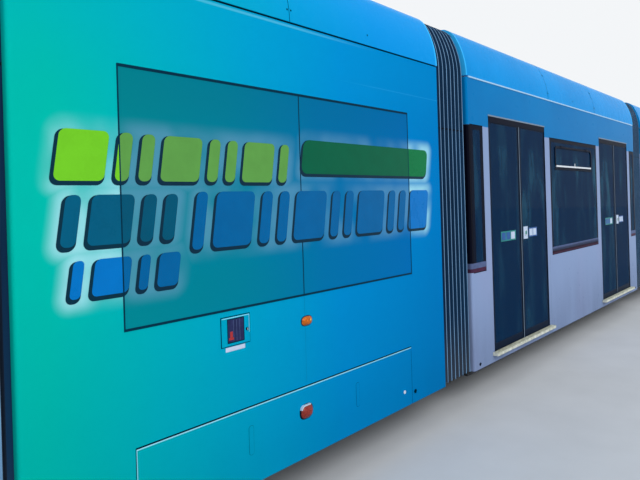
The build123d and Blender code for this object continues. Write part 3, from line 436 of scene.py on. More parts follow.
MAT = {
    "centre": paint_centre(),
    "film": film_centre(),
    "section": paint_section("section_paint", True),
    "cab_section": paint_section("cab_section_paint"),
    "roof": paint_roof("roof_paint"),
    "roof_c": paint_roof("roof_paint_centre", True),
    "nose": paint_nose(),
    "glass": tinted("tinted_glass", srgb(0, 31, 60), 0.87, srgb(52, 80, 106)),
    "door_glass": tinted("door_glass", srgb(0, 39, 72), 0.89, srgb(42, 92, 114)),
    "door_frame": plain("door_frame", (6, 24, 46), 0.4, grain=12, edge=0.002, specular=0.03),
    "gasket": plain("gasket_rubber", (5, 16, 30), 0.7, grain=90, specular=0.02),
    "film_edge": plain("film_edge", (0, 46, 68), 0.6, grain=90, specular=0.05),
    "seal": plain("door_seal_grey", (120, 138, 156), 0.5, grain=60, specular=0.2),
    # pale strips on the hatch's and the service door's edges: painted highlights
    "lip": plain("edge_highlight_paint", (150, 224, 240), 0.35, grain=20, vary=0.05, specular=0.2),
    "faint": plain("faint_joint", (0, 110, 160), 0.4, grain=20, vary=0.05, specular=0.05),
    "seam": plain("seam_shadow", (0, 30, 46), 0.7, grain=40, specular=0.0),
    "border": plain("glass_border", (8, 16, 34), 0.4, grain=20, specular=0.02),
    "band_low": plain("glass_band_low", (70, 34, 60), 0.4, grain=20, specular=0.03),
    "band_grey": plain("glass_band_grey", (84, 98, 136), 0.4, grain=20, specular=0.03),
    "bright": plain("bright_metal", (222, 228, 234), 0.3, 0.35, grain=40, vary=0.06),
    # pale paint of the drip rails: a painted highlight along their edge
    "gutter_highlight": plain("drip_rail_highlight_paint", (160, 206, 236), 0.3, grain=40, vary=0.08),
    "aluminium": plain("aluminium", (170, 174, 178), 0.38, 0.8, grain=120, vary=0.1, edge=0.001),
    "tread": tread_metal(),
    "cloth": pleat_cloth(),
    "rib": plain("bellows_rib", (104, 144, 180), 0.5, grain=30, vary=0.25, stretch=(1, 1, 0.1), specular=0.1),
    "underframe": paint_underframe(),
    "bogie": plain("bogie_paint", (40, 38, 38), 0.75, grain=10, vary=0.45, bump=0.5),
    "wheel": plain("wheel_steel", (118, 108, 100), 0.45, 0.7, grain=16, vary=0.3, bump=0.3),
    "rubber": plain("rubber", (20, 20, 22), 0.8, grain=80),
    "unit": plain("roof_unit_paint", (152, 156, 158), 0.5, grain=4, vary=0.12, edge=0.004),
    "grille": plain("grille_dark", (34, 36, 38), 0.6, grain=60),
    "orange": plain("lamp_orange", (196, 96, 6), 0.2, coat=0.2, grain=120, vary=0.5, bump=0.6, specular=0.2),
    # a painted highlight on the marker lamp's lens
    "orange_spot": plain("lamp_orange_spot", (250, 196, 70), 0.2, coat=0.3, grain=60, vary=0.1, specular=0.3),
    "red_lens": plain("lamp_red", (136, 44, 34), 0.25, coat=0.15, grain=140, vary=0.5, bump=0.6, specular=0.2),
    "lamp_cover": paint_lamps(),
    "lens": plain("lamp_clear", (205, 212, 220), 0.06, coat=0.8, grain=200, vary=0.06),
    "red": plain("handle_red", (170, 30, 34), 0.35, grain=60),
    "label": plain("label_pale", (192, 208, 230), 0.4, grain=20, vary=0.06, specular=0.1),
    "sticker": plain("notice_green", (20, 128, 122), 0.35, grain=20, specular=0.1),
    "sign_blue": plain("notice_blue", (30, 84, 150), 0.35, grain=20, specular=0.1),
    "pane": plain("service_pane", (44, 50, 88), 0.3, grain=30, vary=0.25, specular=0.02),
    "plastic": plain("moulded_grey", (70, 76, 84), 0.55, grain=150, vary=0.1, bump=0.3),
    "panel": plain("interior_panel", (168, 170, 168), 0.6, grain=30, vary=0.05),
    "floor": plain("floor_cover", (58, 62, 68), 0.8, grain=400, vary=0.3, bump=0.3),
    "lamp_panel": plain("ceiling_lamp", (236, 238, 236), 0.4, grain=30, vary=0.03),
    "seat": fabric("seat_cloth", srgb(24, 40, 92), srgb(70, 150, 180)),
    "pole": plain("pole_steel", (186, 188, 190), 0.25, 0.85, grain=300, vary=0.06),
    "pan": plain("pantograph_paint", (128, 34, 30), 0.45, grain=20, vary=0.2),
    "porcelain": plain("insulator", (110, 52, 34), 0.2, coat=0.6, grain=30),
    "copper": plain("copper_braid", (150, 92, 60), 0.5, 0.6, grain=200),
    "carbon": plain("contact_carbon", (52, 52, 54), 0.5, 0.3, grain=200),
}
# printing inks, each with its darker shade on the window's film
for hue, on_wall, on_film in (("lime", (118, 206, 40), (96, 158, 74)), ("sky", (0, 116, 194), (0, 98, 156)),
                              ("ink", (6, 48, 66), (10, 46, 66)), ("teal", (0, 92, 124), (0, 84, 112)),
                              ("green", (0, 118, 66), (0, 96, 66))):
    for ending, rgb, rough in (("", on_wall, 0.28), ("_film", on_film, 0.2)):
        MAT[hue + ending] = plain(f"print_{hue}{ending}", rgb, rough, grain=10, vary=0.05, bump=0.02, specular=0.06)

CAD_MATERIALS = {
    "side_walls": dict(a="cab_section", b="section", c="centre", d="section", e="cab_section"),
    "roof": dict(a="roof", b="roof", c="roof_c", d="roof", e="roof"),
    "skirt_flaps": dict(a="cab_section", c="centre", e="cab_section"),
    "windows": dict(a="glass", b="door_glass", c="film", d="door_glass", e="glass"),
    "underframe": dict.fromkeys("abcde", "underframe"),
    "roof_units": dict.fromkeys("abcde", "unit"),
    "doors": dict.fromkeys("bd", "door_frame"),
    "seats": dict.fromkeys("abcde", "seat"),
    "grab_poles": dict.fromkeys("bd", "pole"),
    "nose": dict.fromkeys("ae", "nose"),
    "lamps": dict.fromkeys("ace", "lamp_cover"),
    "bogie": dict.fromkeys("ace", "bogie"),
    "wheelset": dict.fromkeys("123456", "wheel"),
    "pantograph": dict(lower_arm="pan", upper_arm="pan", head="carbon"),
}
for kind, table in CAD_MATERIALS.items():
    for suffix, mat in table.items():
        mesh = nodes[f"{kind}_{suffix}"].data
        mesh.materials.clear()
        mesh.materials.append(MAT[mat])


# ---------------- mesh building
def circle(centre, side, other, radius, count):
    return [centre + side * c + other * d for c, d in spokes(count, radius)]


def rings(rows, count):
    """The quads between rings of points that follow each other."""
    return [(i + k, i + (k + 1) % count, i + count + (k + 1) % count, i + count + k)
            for i in range(0, (rows - 1) * count, count) for k in range(count)]


class Soup:
    """The points and faces of a piece. A face's tag is the number of its material."""

    def __init__(self):
        self.verts, self.faces, self.tags = [], [], []

    def add(self, verts, faces, tag=0):
        start = len(self.verts)
        self.verts += [Vector(v) for v in verts]
        self.faces += [[start + i for i in f] for f in faces]
        self.tags += [tag] * len(faces)

    def box(self, x0, x1, y0, y1, z0, z1, tag=0):
        verts = [(x, y, z) for x in sorted((x0, x1)) for y in sorted((y0, y1)) for z in sorted((z0, z1))]
        self.add(verts, [(0, 1, 3, 2), (4, 6, 7, 5), (0, 4, 5, 1), (2, 3, 7, 6), (0, 2, 6, 4), (1, 5, 7, 3)], tag)

    def plate(self, x0, x1, z0, z1, out, sunk=0.0, tag=0):
        """A flat box on the -Y wall, which stands out from the wall's face and is sunk into it by so much."""
        self.box(x0, x1, -HALF - out, -HALF + sunk, z0, z1, tag)

    def plates(self, *rows):
        for row in rows:
            self.plate(*row)

    def border(self, rect, width, out, sunk=0.0, tag=0):
        """A strip round a rectangle on the -Y wall."""
        a, b, low, high = rect
        self.plates((a - width, a, low - width, high + width, out, sunk, tag),
                    (b, b + width, low - width, high + width, out, sunk, tag),
                    (a, b, low - width, low, out, sunk, tag), (a, b, high, high + width, out, sunk, tag))

    def ring(self, outer, inner, out, sunk=0.0, tag=0):
        """A flat ring on the -Y wall, between two outlines of equal count in X and Z."""
        n = len(outer)
        verts = [(x, y, z) for y in (-HALF - out, -HALF + sunk) for x, z in outer + inner]
        faces = []
        for i in range(n):
            m = (i + 1) % n
            faces += [(i, m, n + m, n + i), (2 * n + i, 3 * n + i, 3 * n + m, 2 * n + m),
                      (i, 2 * n + i, 2 * n + m, m), (n + i, n + m, 3 * n + m, 3 * n + i)]
        self.add(verts, faces, tag)

    def prism(self, outline, y0, y1, tag=0):
        """A block between y0 and y1. Its outline is a closed polygon in X and Z."""
        n = len(outline)
        faces = [(i, (i + 1) % n, n + (i + 1) % n, n + i) for i in range(n)]
        faces += [tuple(reversed(range(n))), tuple(range(n, 2 * n))]
        self.add([(x, y, z) for y in (y0, y1) for x, z in outline], faces, tag)

    def lathe(self, origin, axis, profile, count=28, tag=0):
        """Turns a profile, a list of (distance along the axis, radius), round the axis."""
        axis = Vector(axis).normalized()
        side = axis.orthogonal().normalized()
        other = axis.cross(side)
        verts = []
        for height, radius in profile:
            verts += circle(Vector(origin) + axis * height, side, other, max(radius, 1e-5), count)
        self.add(verts, rings(len(profile), count), tag)

    def stud(self, origin, axis, radius, height, count=6, tag=0):
        """A bolt head or a rivet."""
        self.lathe(origin, axis, [(0, radius), (height, radius), (height, 0)], count, tag)

    def rod(self, p, q, radius, count=14, tag=0):
        run = Vector(q) - Vector(p)
        self.lathe(p, run, [(0, 0), (0, radius), (run.length, radius), (run.length, 0)], count, tag)

    def sweep(self, points, radius, count=8, tag=0):
        """A round bar along a line of points."""
        points = [Vector(p) for p in points]
        side, verts = None, []
        for i, p in enumerate(points):
            run = (points[min(i + 1, len(points) - 1)] - points[max(i - 1, 0)]).normalized()
            side = run.orthogonal().normalized() if side is None else (side - run * side.dot(run)).normalized()
            verts += circle(p, side, run.cross(side), radius, count)
        caps = [tuple(reversed(range(count))), tuple(range(len(verts) - count, len(verts)))]
        self.add(verts, rings(len(points), count) + caps, tag)

    def dome(self, x, out, z, length, height, depth, tag=0, steps=8, count=36):
        """An oval lens that swells out of its base on the -Y wall."""
        power = 2.6
        y = -HALF - out
        verts = [(x, y - depth, z)]
        for i in range(1, steps + 1):
            t = i / steps
            for c, d in spokes(count, 1.0):
                r = 1 / (abs(c) ** power + abs(d) ** power) ** (1 / power)
                verts.append((x + r * c * t * length / 2, y - depth * (1 - t**power), z + r * d * t * height / 2))
        fan = [(0, 1 + (k + 1) % count, 1 + k) for k in range(count)]
        walls = [tuple(1 + i for i in face) for face in rings(steps, count)]
        self.add(verts, fan + walls + [tuple(range(len(verts) - count, len(verts)))], tag)

    def mirrored(self):
        """Adds the same shapes on the other side of the tram."""
        start, count = len(self.verts), len(self.faces)
        self.verts += [Vector((v.x, -v.y, v.z)) for v in self.verts]
        self.faces += [[start + i for i in reversed(f)] for f in self.faces[:count]]
        self.tags += self.tags[:count]


def build(name, verts, faces, tags, mats, smooth=35):
    mesh = bpy.data.meshes.new(name)
    mesh.from_pydata(verts, [], faces)
    for mat in mats.split():
        mesh.materials.append(MAT[mat])
    mesh.polygons.foreach_set("material_index", tags)
    mesh.polygons.foreach_set("use_smooth", [True] * len(faces))
    fix = bmesh.new()
    fix.from_mesh(mesh)
    bmesh.ops.remove_doubles(fix, verts=fix.verts, dist=1e-6)
    bmesh.ops.recalc_face_normals(fix, faces=fix.faces)
    fix.to_mesh(mesh)
    fix.free()
    mesh.set_sharp_from_angle(angle=math.radians(smooth))
    piece = bpy.data.objects.new(name, mesh)
    bpy.context.scene.collection.objects.link(piece)
    return piece


def emit(name, soup, mats, sections, slot, bevel=0.0, both=False, replaces=(), padded=None):
    """Makes one piece for each section. A turned section holds the same shape turned half round."""
    if both:
        soup.mirrored()
    for suffix, body, turned in sections:
        flip = -1 if turned else 1
        verts = [(flip * v.x, flip * v.y, v.z) for v in soup.verts]
        piece = build(f"{name}_{suffix}", verts, soup.faces, soup.tags, mats)
        if bevel:
            mod = piece.modifiers.new("edges", "BEVEL")
            mod.width = bevel
            mod.segments = 2
            mod.limit_method = "ANGLE"
            mod.angle_limit = math.radians(40)
            mod.harden_normals = True
        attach(piece, body)
        if replaces:
            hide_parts(*[f"{kind}_{suffix}" for kind in replaces])


def arc(a, b, c, steps):
    """Points on the circle through three points in a plane."""
    (ax, ay), (bx, by), (cx, cy) = a, b, c
    d = 2 * (ax * (by - cy) + bx * (cy - ay) + cx * (ay - by))
    ux = ((ax**2 + ay**2) * (by - cy) + (bx**2 + by**2) * (cy - ay) + (cx**2 + cy**2) * (ay - by)) / d
    uy = ((ax**2 + ay**2) * (cx - bx) + (bx**2 + by**2) * (ax - cx) + (cx**2 + cy**2) * (bx - ax)) / d
    start, end = math.atan2(ay - uy, ax - ux), math.atan2(cy - uy, cx - ux)
    turn = (end - start + math.pi) % (2 * math.pi) - math.pi
    r = math.hypot(ax - ux, ay - uy)
    return [(ux + r * math.cos(a), uy + r * math.sin(a)) for a in spread(start, start + turn, steps + 1)]


def fairing_line(inset, steps=10):
    """The fairing's outer line in Y and Z, on the +Y side, from the gutter to its lip."""
    low = (HALF - inset, FAIRING_LOW)
    bulge = (HALF - 0.025 - inset, 3.060)
    waist = (HALF - 0.091 - inset, 3.224)
    crest = (HALF - 0.1455 - 0.8 * inset, 3.290 - 0.6 * inset)
    shoulder = (HALF - 0.2, 3.320 - inset)
    return arc(low, bulge, waist, steps) + arc(waist, crest, shoulder, steps)[1:] + [(HALF - 0.33, 3.335 - inset)]


def rounded_rect(a, b, low, high, r, steps=6):
    points = []
    for cx, cz, start in ((b - r, high - r, 0), (a + r, high - r, 90), (a + r, low + r, 180), (b - r, low + r, 270)):
        for t in spread(math.radians(start), math.radians(start + 90), steps + 1):
            points.append((cx + r * math.cos(t), cz + r * math.sin(t)))
    return points


# ---------------- side walls
RUBBER = (0.0012, 0.004)  # how far window rubbers stand out from the wall and are sunk into it
ON_GLASS = (0.0008, 0.0002)  # the same for what is printed on the panes


def centre_wall():
    a, b, low, high = CENTRE_WINDOW
    s = Soup()
    for x in (a, b):
        s.plate(x - 0.0035, x + 0.0035, low - 0.006, high + 0.006, 0.002, 0.004)
    for z, depth in ((high, 0.014), (low, 0.012)):
        s.plate(a + 0.0035, b - 0.0035, z - depth / 2, z + depth / 2, 0.0018, 0.004)
    s.plate(-0.0045, 0.0045, low + 0.006, high - 0.007, -0.0004, 0.011)
    emit("window_gasket", s, "film_edge", SECTION_C, "tinted_glass", both=True)

    # hatch outline over the truck, the panel joint above it and the joint along the top of the wall
    s = Soup()
    h0, h1 = -HATCH_HALF, HATCH_HALF
    s.plates((h0, h0 + 0.004, SKIRT, HATCH_TOP, -0.001, 0.02), (h1 - 0.004, h1, SKIRT, HATCH_TOP, -0.001, 0.02),
             (h0, h1, HATCH_TOP - 0.004, HATCH_TOP + 0.0035, 0.0006, 0.02),
             (-0.0008, 0.0008, HATCH_TOP + 0.02, low - 0.006, 0.0004, 0.002, 2),
             (-CENTRE_END + 0.03, CENTRE_END - 0.03, GUTTER, FAIRING_LOW, -0.004, 0.03),
             # the pale strips under the hatch's top edge and beside its left edge are painted highlights
             (h0 + 0.004, h1 - 0.004, HATCH_TOP - 0.0095, HATCH_TOP - 0.0043, 0.0018, 0.0, 1),
             (h0 + 0.0045, h0 + 0.0075, SKIRT + 0.01, HATCH_TOP - 0.0045, 0.0014, 0.0, 1))
    emit("panel_joint", s, "seam lip faint", SECTION_C, "centre_paint", both=True)

    # small service door with a dark pane, a red handle behind it and a lock
    s = Soup()
    x0, x1, z0, z1 = -0.650, -0.452, 1.068, 1.219
    pane = (x0 + 0.042, x1 - 0.045, z0 + 0.018, z1 - 0.014)
    s.plate(x0, x1, z0, z1, 0.004)
    s.border((x0, x1, z0, z1), 0.0035, 0.0022, 0.0, 4)
    # the pale strips along the door's top and right edges are painted highlights
    s.plates((x0 + 0.004, x1 - 0.004, z1 - 0.006, z1 - 0.0025, 0.0046, -0.004, 5),
             (x1 - 0.0055, x1 - 0.003, z0 + 0.05, z1 - 0.006, 0.0046, -0.004, 5))
    s.border(pane, 0.004, 0.0055, -0.004, 4)
    s.plate(*pane, 0.0050, -0.004, 1)
    for x in spread(x0 + 0.080, x0 + 0.124, 3):
        s.plate(x, x + 0.0022, z0 + 0.022, z1 - 0.018, 0.0058, -0.0050, 6)
    s.plates((x0 + 0.056, x0 + 0.074, z0 + 0.034, z0 + 0.074, 0.0066, -0.0050, 2),
             (x0 + 0.048, x0 + 0.082, z0 + 0.030, z0 + 0.042, 0.0062, -0.0050, 2))
    s.lathe((x1 - 0.020, -HALF - 0.003, z0 + 0.070), OUT, [(0, 0.009), (0.004, 0.009), (0.006, 0.007), (0.006, 0)],
            20, 4)
    s.plate(x1 - 0.0215, x1 - 0.0185, z0 + 0.064, z0 + 0.076, 0.0105, -0.008, 3)
    emit("service_door", s, "centre pane red bright seam lip band_grey", SECTION_C, "centre_paint", 0.0008, True)
    s = Soup()
    s.plate(x0 + 0.027, x1 - 0.035, z0 - 0.030, z0 - 0.007, 0.0015)
    emit("blank_label", s, "label", SECTION_C, "centre_paint", 0.0005, True)


def side_lamps(sections, middle, trim, **more):
    """A marker lamp and a hooded reflector, a little to either side of the section's middle."""
    s = Soup()
    x = middle + 0.014
    s.dome(x, 0.004, LAMP_Z, 0.092, 0.054, 0.018, 0)
    # the small pale dome on the marker lamp's lens is a painted highlight
    s.dome(x + 0.014, 0.0165, LAMP_Z + 0.004, 0.024, 0.018, 0.005, 5, 5, 18)
    s.dome(x, 0.0, LAMP_Z, 0.102, 0.064, 0.006, 1)
    x = middle - 0.011
    s.dome(x, 0.006, REFLECTOR_Z, 0.104, 0.078, 0.022, 2)
    s.dome(x, 0.0, REFLECTOR_Z, 0.120, 0.092, 0.010, 3)
    rim = rounded_rect(x - 0.056, x + 0.056, REFLECTOR_Z - 0.043, REFLECTOR_Z + 0.043, 0.030, 8)
    inside = rounded_rect(x - 0.050, x + 0.050, REFLECTOR_Z - 0.037, REFLECTOR_Z + 0.037, 0.025, 8)
    for p, q, r, t in zip(rim, rim[1:] + rim[:1], inside[1:] + inside[:1], inside):
        if max(p[0] - x, 0.0) * 0.8 < p[1] - (REFLECTOR_Z + 0.022):
            s.prism([p, q, r, t], -HALF - 0.016, -HALF, 4)
    emit("side_lamps", s, f"orange {trim} red_lens gasket bright orange_spot", sections, "lamp_lens", both=True, **more)


def handles(s, *places):
    """Flush handles in the skirt."""
    for x in places:
        rim, hole, lid = (rounded_rect(x - w, x + w, 0.53 - h, 0.53 + h, r) for w, h, r in (
            (0.018, 0.080, 0.016), (0.012, 0.074, 0.011), (0.0165, 0.0785, 0.0145)))
        s.ring(rim, hole, 0.0006, 0.001, 1)
        s.prism(lid, -HALF - 0.0012, -HALF + 0.001)


def lock(s, x, z, radius, face, well):
    """A round lock whose face is sunk into its rim."""
    s.lathe((x, -HALF, z), OUT, [(0, radius), (0.003, radius), (0.004, face), (0.002, well), (0.002, 0)], 24, 2)


def jacking_mark(s, x, z, wide, low, top, height, tag):
    """A small mark in the shape of a cup, at the skirt's edge."""
    right = [(low, 0), (wide, 0.02), (top, height)]
    outline = [(x + dx, z + dz) for dx, dz in right] + [(x - dx, z + dz) for dx, dz in right[::-1]]
    s.prism(outline, -HALF - 0.001, -HALF, tag)


def centre_small_parts():
    side_lamps(SECTION_C, 0.0, "film_edge", replaces=("lamps",))
    s = Soup()
    handles(s, -0.46, 0.50)
    lock(s, 1.064, 0.401, 0.013, 0.010, 0.009)
    for x in (1.212, -1.212):
        jacking_mark(s, x, 0.356, 0.02, 0.012, 0.008, 0.03, 1)
    emit("skirt_fittings", s, "centre seam bright", SECTION_C, "centre_paint", both=True)


def tile_outline(x0, x1, z0, z1, radius, grow=0.0):
    """A leaning tile with rounded corners, as points in X and Z."""
    middle = (z0 + z1) / 2
    radius = min(radius, 0.42 * (x1 - x0))
    points = rounded_rect(x0 - grow, x1 + grow, z0 - grow, z1 + grow, radius + grow)
    return [(x + PRINT_LEAN * (z - middle), z) for x, z in points]


def decal(name, outlines, lift, hue):
    """Thin printed shapes on the wall. Where they cross the window they take the film's darker shade."""
    mesh = bmesh.new()
    for outline in outlines:
        mesh.faces.new([mesh.verts.new((x, 0, z)) for x, z in outline])
    a, b, low, high = CENTRE_WINDOW
    for place, across in (((a, 0, 0), (1, 0, 0)), ((b, 0, 0), (1, 0, 0)), ((0, 0, low), UP), ((0, 0, high), UP)):
        geom = mesh.verts[:] + mesh.edges[:] + mesh.faces[:]
        bmesh.ops.bisect_plane(mesh, geom=geom, plane_co=place, plane_no=across)
    mesh.verts.index_update()
    s = Soup()
    s.verts = [Vector((v.co.x, -HALF - lift, v.co.z)) for v in mesh.verts]
    for face in mesh.faces:
        c = face.calc_center_median()
        s.faces.append([v.index for v in face.verts])
        s.tags.append(1 if a < c.x < b and low < c.z < high else 0)
    mesh.free()
    emit(name, s, f"{hue} {hue}_film", SECTION_C, "centre_paint", both=True)


def centre_graphics():
    for number, (hue, low, high, radius, places) in enumerate(PRINT_ROWS):
        shade = [tile_outline(a - 0.012, b - 0.007, low - 0.013, high - 0.008, radius, 0.006) for a, b in places]
        decal(f"shade_{number}", shade, 0.0014, "ink")
        decal(f"tiles_{number}", [tile_outline(a, b, low, high, radius) for a, b in places], 0.0018, hue)


def glass_border(s, a, b, low, high, edge, foot, inset):
    """Dark edges on a pane from foot above its lower edge, and the two-colour band, inset at its ends."""
    s.plates((a, a + edge, low + foot, high, *ON_GLASS, 1), (b - edge, b, low + foot, high, *ON_GLASS, 1),
             (a + edge, b - edge, high - 0.04, high, *ON_GLASS, 1),
             (a + inset, b - inset, low, low + BAND_SPLIT, *ON_GLASS, 2),
             (a + inset, b - inset, low + BAND_SPLIT, low + BAND_HIGH, *ON_GLASS, 3))


def hopper(s, x0, x1):
    """A top-hung hopper window: its rubber, its bright bar and the strip below it."""
    z0, z1 = HOPPER_LOW, HOPPER_TOP
    inner = rounded_rect(x0 + 0.026, x1 - 0.026, z0 + 0.02, z1 - 0.022, 0.04)
    s.ring(rounded_rect(x0, x1, z0, z1, 0.055), inner, 0.009)
    s.plates((x0 + 0.02, x1 - 0.05, z0 + 0.004, z0 + 0.024, 0.017, -0.004, 1),
             (x0 - 0.01, x1 + 0.01, z0 - 0.026, z0 - 0.008, 0.006))


def drip_rail(sections, start, end, slot):
    s = Soup()
    # the drip rail is real; its pale colour is a painted highlight along its edge
    s.plate(start, end, GUTTER - 0.003, FAIRING_LOW - 0.001, 0.006, 0.02)
    emit("drip_rail", s, "gutter_highlight", sections, slot, 0.002, True)


def door_section_wall():
    s = Soup()
    line = 0.006
    for number, (a, b, low, high) in enumerate(DOOR_WINDOWS):
        s.plates((a - line, b + line, high, high + line, *RUBBER), (a - line, b + line, low - line, low, *RUBBER))
        # towards the section's end the border runs on in the paint, so the rubber shows on the other side only
        if number:
            s.plate(a - line, a, low, high, *RUBBER)
        if number < 2:
            s.plate(b, b + line, low, high, *RUBBER)
        glass_border(s, a, b, low, high, 0.036 if number == 1 else 0.05, BAND_HIGH, 0.0)
    emit("window_border", s, "gasket border band_low band_grey", SECTIONS_DB, "tinted_glass", both=True)

    s = Soup()
    x0, x1 = DOOR_WINDOWS[1][0] + 0.143, DOOR_WINDOWS[1][1] - 0.223
    middle = (x0 + x1) / 2
    hopper(s, x0, x1)
    s.plates((middle - 0.006, middle + 0.006, HOPPER_LOW + 0.02, HOPPER_LOW + 0.06, 0.014, -0.004, 1),
             (x0 + 0.18, x0 + 0.24, HOPPER_TOP - 0.02, HOPPER_TOP + 0.008, 0.013),
             (x1 - 0.24, x1 - 0.18, HOPPER_TOP - 0.02, HOPPER_TOP + 0.008, 0.013))
    emit("hopper_window", s, "border bright", SECTIONS_DB, "tinted_glass", 0.0015, True)

    for number, (a, b) in enumerate(DOORS, 1):
        door_fittings(number, a, b)

    drip_rail(SECTIONS_DB, DOOR_START + 0.035, DOOR_END - 0.035, "door_section_paint")
    # jacking marks and panel joints
    s = Soup()
    for x in (DOOR_START + 0.11, DOOR_END - 0.11):
        jacking_mark(s, x, 0.318, 0.022, 0.010, 0.010, 0.028, 0)
    for x in (DOORS[0][1] + 0.07, DOORS[1][0] - 0.07):
        s.plate(x - 0.0006, x + 0.0006, SKIRT, 1.149, 0.0004, 0.001, 1)
    emit("wall_marks", s, "gasket band_grey", SECTIONS_DB, "door_section_paint", both=True)


def door_fittings(number, a, b):
    """Seals and header rail, sill tread, blank notices and push button of one double door."""
    s = Soup()
    middle, top = (a + b) / 2, DOOR_TOP - 0.06
    # the pale seal between the leaves is a real seal; its pale colour is partly a painted highlight along the meeting
    # edges
    s.plates((middle - 0.005, middle + 0.005, DOOR_LOW, top, -0.0015, 0.03, 1),
             (middle - 0.014, middle - 0.006, DOOR_LOW, top, -0.002, 0.008),
             (middle + 0.006, middle + 0.014, DOOR_LOW, top, -0.002, 0.008),
             (a, b, DOOR_TOP - 0.062, DOOR_TOP - 0.001, -0.001, 0.007, 2),
             (a - 0.002, b + 0.002, DOOR_TOP - 0.010, DOOR_TOP + 0.004, 0.004, 0.003, 1),
             (a, a + 0.010, DOOR_LOW, DOOR_TOP, -0.001, 0.02), (b - 0.010, b, DOOR_LOW, DOOR_TOP, -0.001, 0.02))
    emit(f"door_seal_{number}", s, "gasket seal border", SECTIONS_DB, "door_frame", 0.001, True)

    s = Soup()
    y0, y1 = -HALF - SILL_REACH + 0.0003, -HALF - 0.0002
    p, q = a - SILL_OVERHANG, b + SILL_OVERHANG
    base, top = 0.3826, 0.3842
    s.box(p, q, y0, y1, FLOOR + 0.0002, base)
    for k in range(8):
        y = y0 + 0.004 + 0.0058 * k
        s.box(p + 0.01, q - 0.01, y, y + 0.0030, base, top)
    for x in spread(p + 0.05, q - 0.05, 5):
        s.stud((x, (y0 + y1) / 2, top), UP, 0.006, 0.001, 14, 1)
    emit(f"sill_tread_{number}", s, "tread bright", SECTIONS_DB, "underframe", 0.0006, True)

    # a row of blank notices on the first leaf, and two beside the button's pale plate on the second
    s = Soup()
    notice, print_on = (-0.0044, 0.0052), (-0.0040, 0.0044)
    s.plates((a + 0.22, a + 0.57, 1.382, 1.478, *notice, 0),
             *[(x, x + 0.090, 1.395, 1.465, *print_on, tag)
               for x, tag in ((a + 0.235, 2), (a + 0.345, 2), (a + 0.455, 1))],
             (middle + 0.06, middle + 0.17, 1.375, 1.500, *notice, 1),
             (middle + 0.20, middle + 0.42, 1.388, 1.482, *notice, 2),
             *[(x, x + 0.086, 1.400, 1.470, *print_on, 1) for x in (middle + 0.214, middle + 0.314)])
    emit(f"blank_notice_{number}", s, "sticker label sign_blue", SECTIONS_DB, "door_frame", both=True)
    s = Soup()
    button = (middle + 0.115, -HALF + 0.0044, 1.437)
    s.lathe(button, OUT, [(0, 0.030), (0.004, 0.030), (0.006, 0.026), (0.0045, 0.023)], 28, 0)
    s.lathe(button, OUT, [(0, 0.0225), (0.0040, 0.0215), (0.0055, 0.015), (0.006, 0)], 28, 1)
    emit(f"door_button_{number}", s, "bright sticker", SECTIONS_DB, "door_frame", both=True)


def cab_section_wall():
    s = Soup()
    for rect in CAB_WINDOWS:
        a, b, low, high = rect
        middle = (a + b) / 2
        s.border(rect, 0.006, *RUBBER)
        s.plate(middle - 0.004, middle + 0.004, low, high, 0.0, 0.011)
        for p, q in ((a, middle - 0.004), (middle + 0.004, b)):
            glass_border(s, p, q, low, high, 0.036, 0.0, 0.036)
    emit("window_border", s, "gasket border band_low band_grey", SECTIONS_EA, "tinted_glass", both=True)
    s = Soup()
    hopper(s, CAB_FIRST + 0.14, CAB_FIRST + 1.07)
    hopper(s, CAB_FIRST + 3.88, CAB_FIRST + 4.81)
    emit("hopper_window", s, "border bright", SECTIONS_EA, "tinted_glass", 0.0015, True)
    drip_rail(SECTIONS_EA, CAB_START + 0.035, CAB_JOINT - 0.004, "cab_section_paint")

    # hatch outline over the truck and the joint between section and cab
    s = Soup()
    h0, h1, top = CAB_BOGIE - HATCH_HALF, CAB_BOGIE + HATCH_HALF, HATCH_TOP + 0.003
    s.plates(*[(*rect, 0.0012, 0.002) for rect in (
        (h0 - 0.002, h0 + 0.003, SKIRT, top), (h1 - 0.003, h1 + 0.002, SKIRT, top), (h0, h1, HATCH_TOP - 0.002, top),
        (CAB_JOINT - 0.003, CAB_JOINT + 0.003, 0.30, 2.88))])
    emit("panel_joint", s, "band_grey", SECTIONS_EA, "cab_section_paint", both=True)
    s = Soup()
    handles(s, CAB_BOGIE - 0.48, CAB_BOGIE + 0.48)
    lock(s, CAB_BOGIE + 1.08, 0.399, 0.022, 0.017, 0.015)
    emit("skirt_fittings", s, "cab_section gasket bright", SECTIONS_EA, "cab_section_paint", both=True)


# ---------------- roof
def roof_seams(sections, at, between, slot):
    """Thin joints across the curved fairings, with screws beside them and in between."""
    out, back = fairing_line(-0.0008), fairing_line(0.002)
    s = Soup()
    for x in at:
        for side in (-1, 1):
            for corners in zip(out, out[1:], back[1:], back):
                verts = [(dx, side * y, z) for dx in (x - 0.0016, x + 0.0016) for y, z in corners]
                s.add(verts, [(0, 1, 2, 3), (4, 7, 6, 5), (0, 4, 5, 1), (2, 6, 7, 3)])
    emit("fairing_joint", s, "seam", sections, slot)
    s = Soup()
    places = [(x + dx, out[n]) for x in at for dx in (-0.016, 0.016) for n in (2, 8)] + [(x, out[2]) for x in between]
    for side in (-1, 1):
        for x, (y, z) in places:
            s.lathe((x, side * y, z), (0, side, 0.25), [(0, 0.006), (0.001, 0.006), (0.0018, 0.004), (0.0018, 0)], 12)
    emit("fairing_screws", s, "seam", sections, slot)


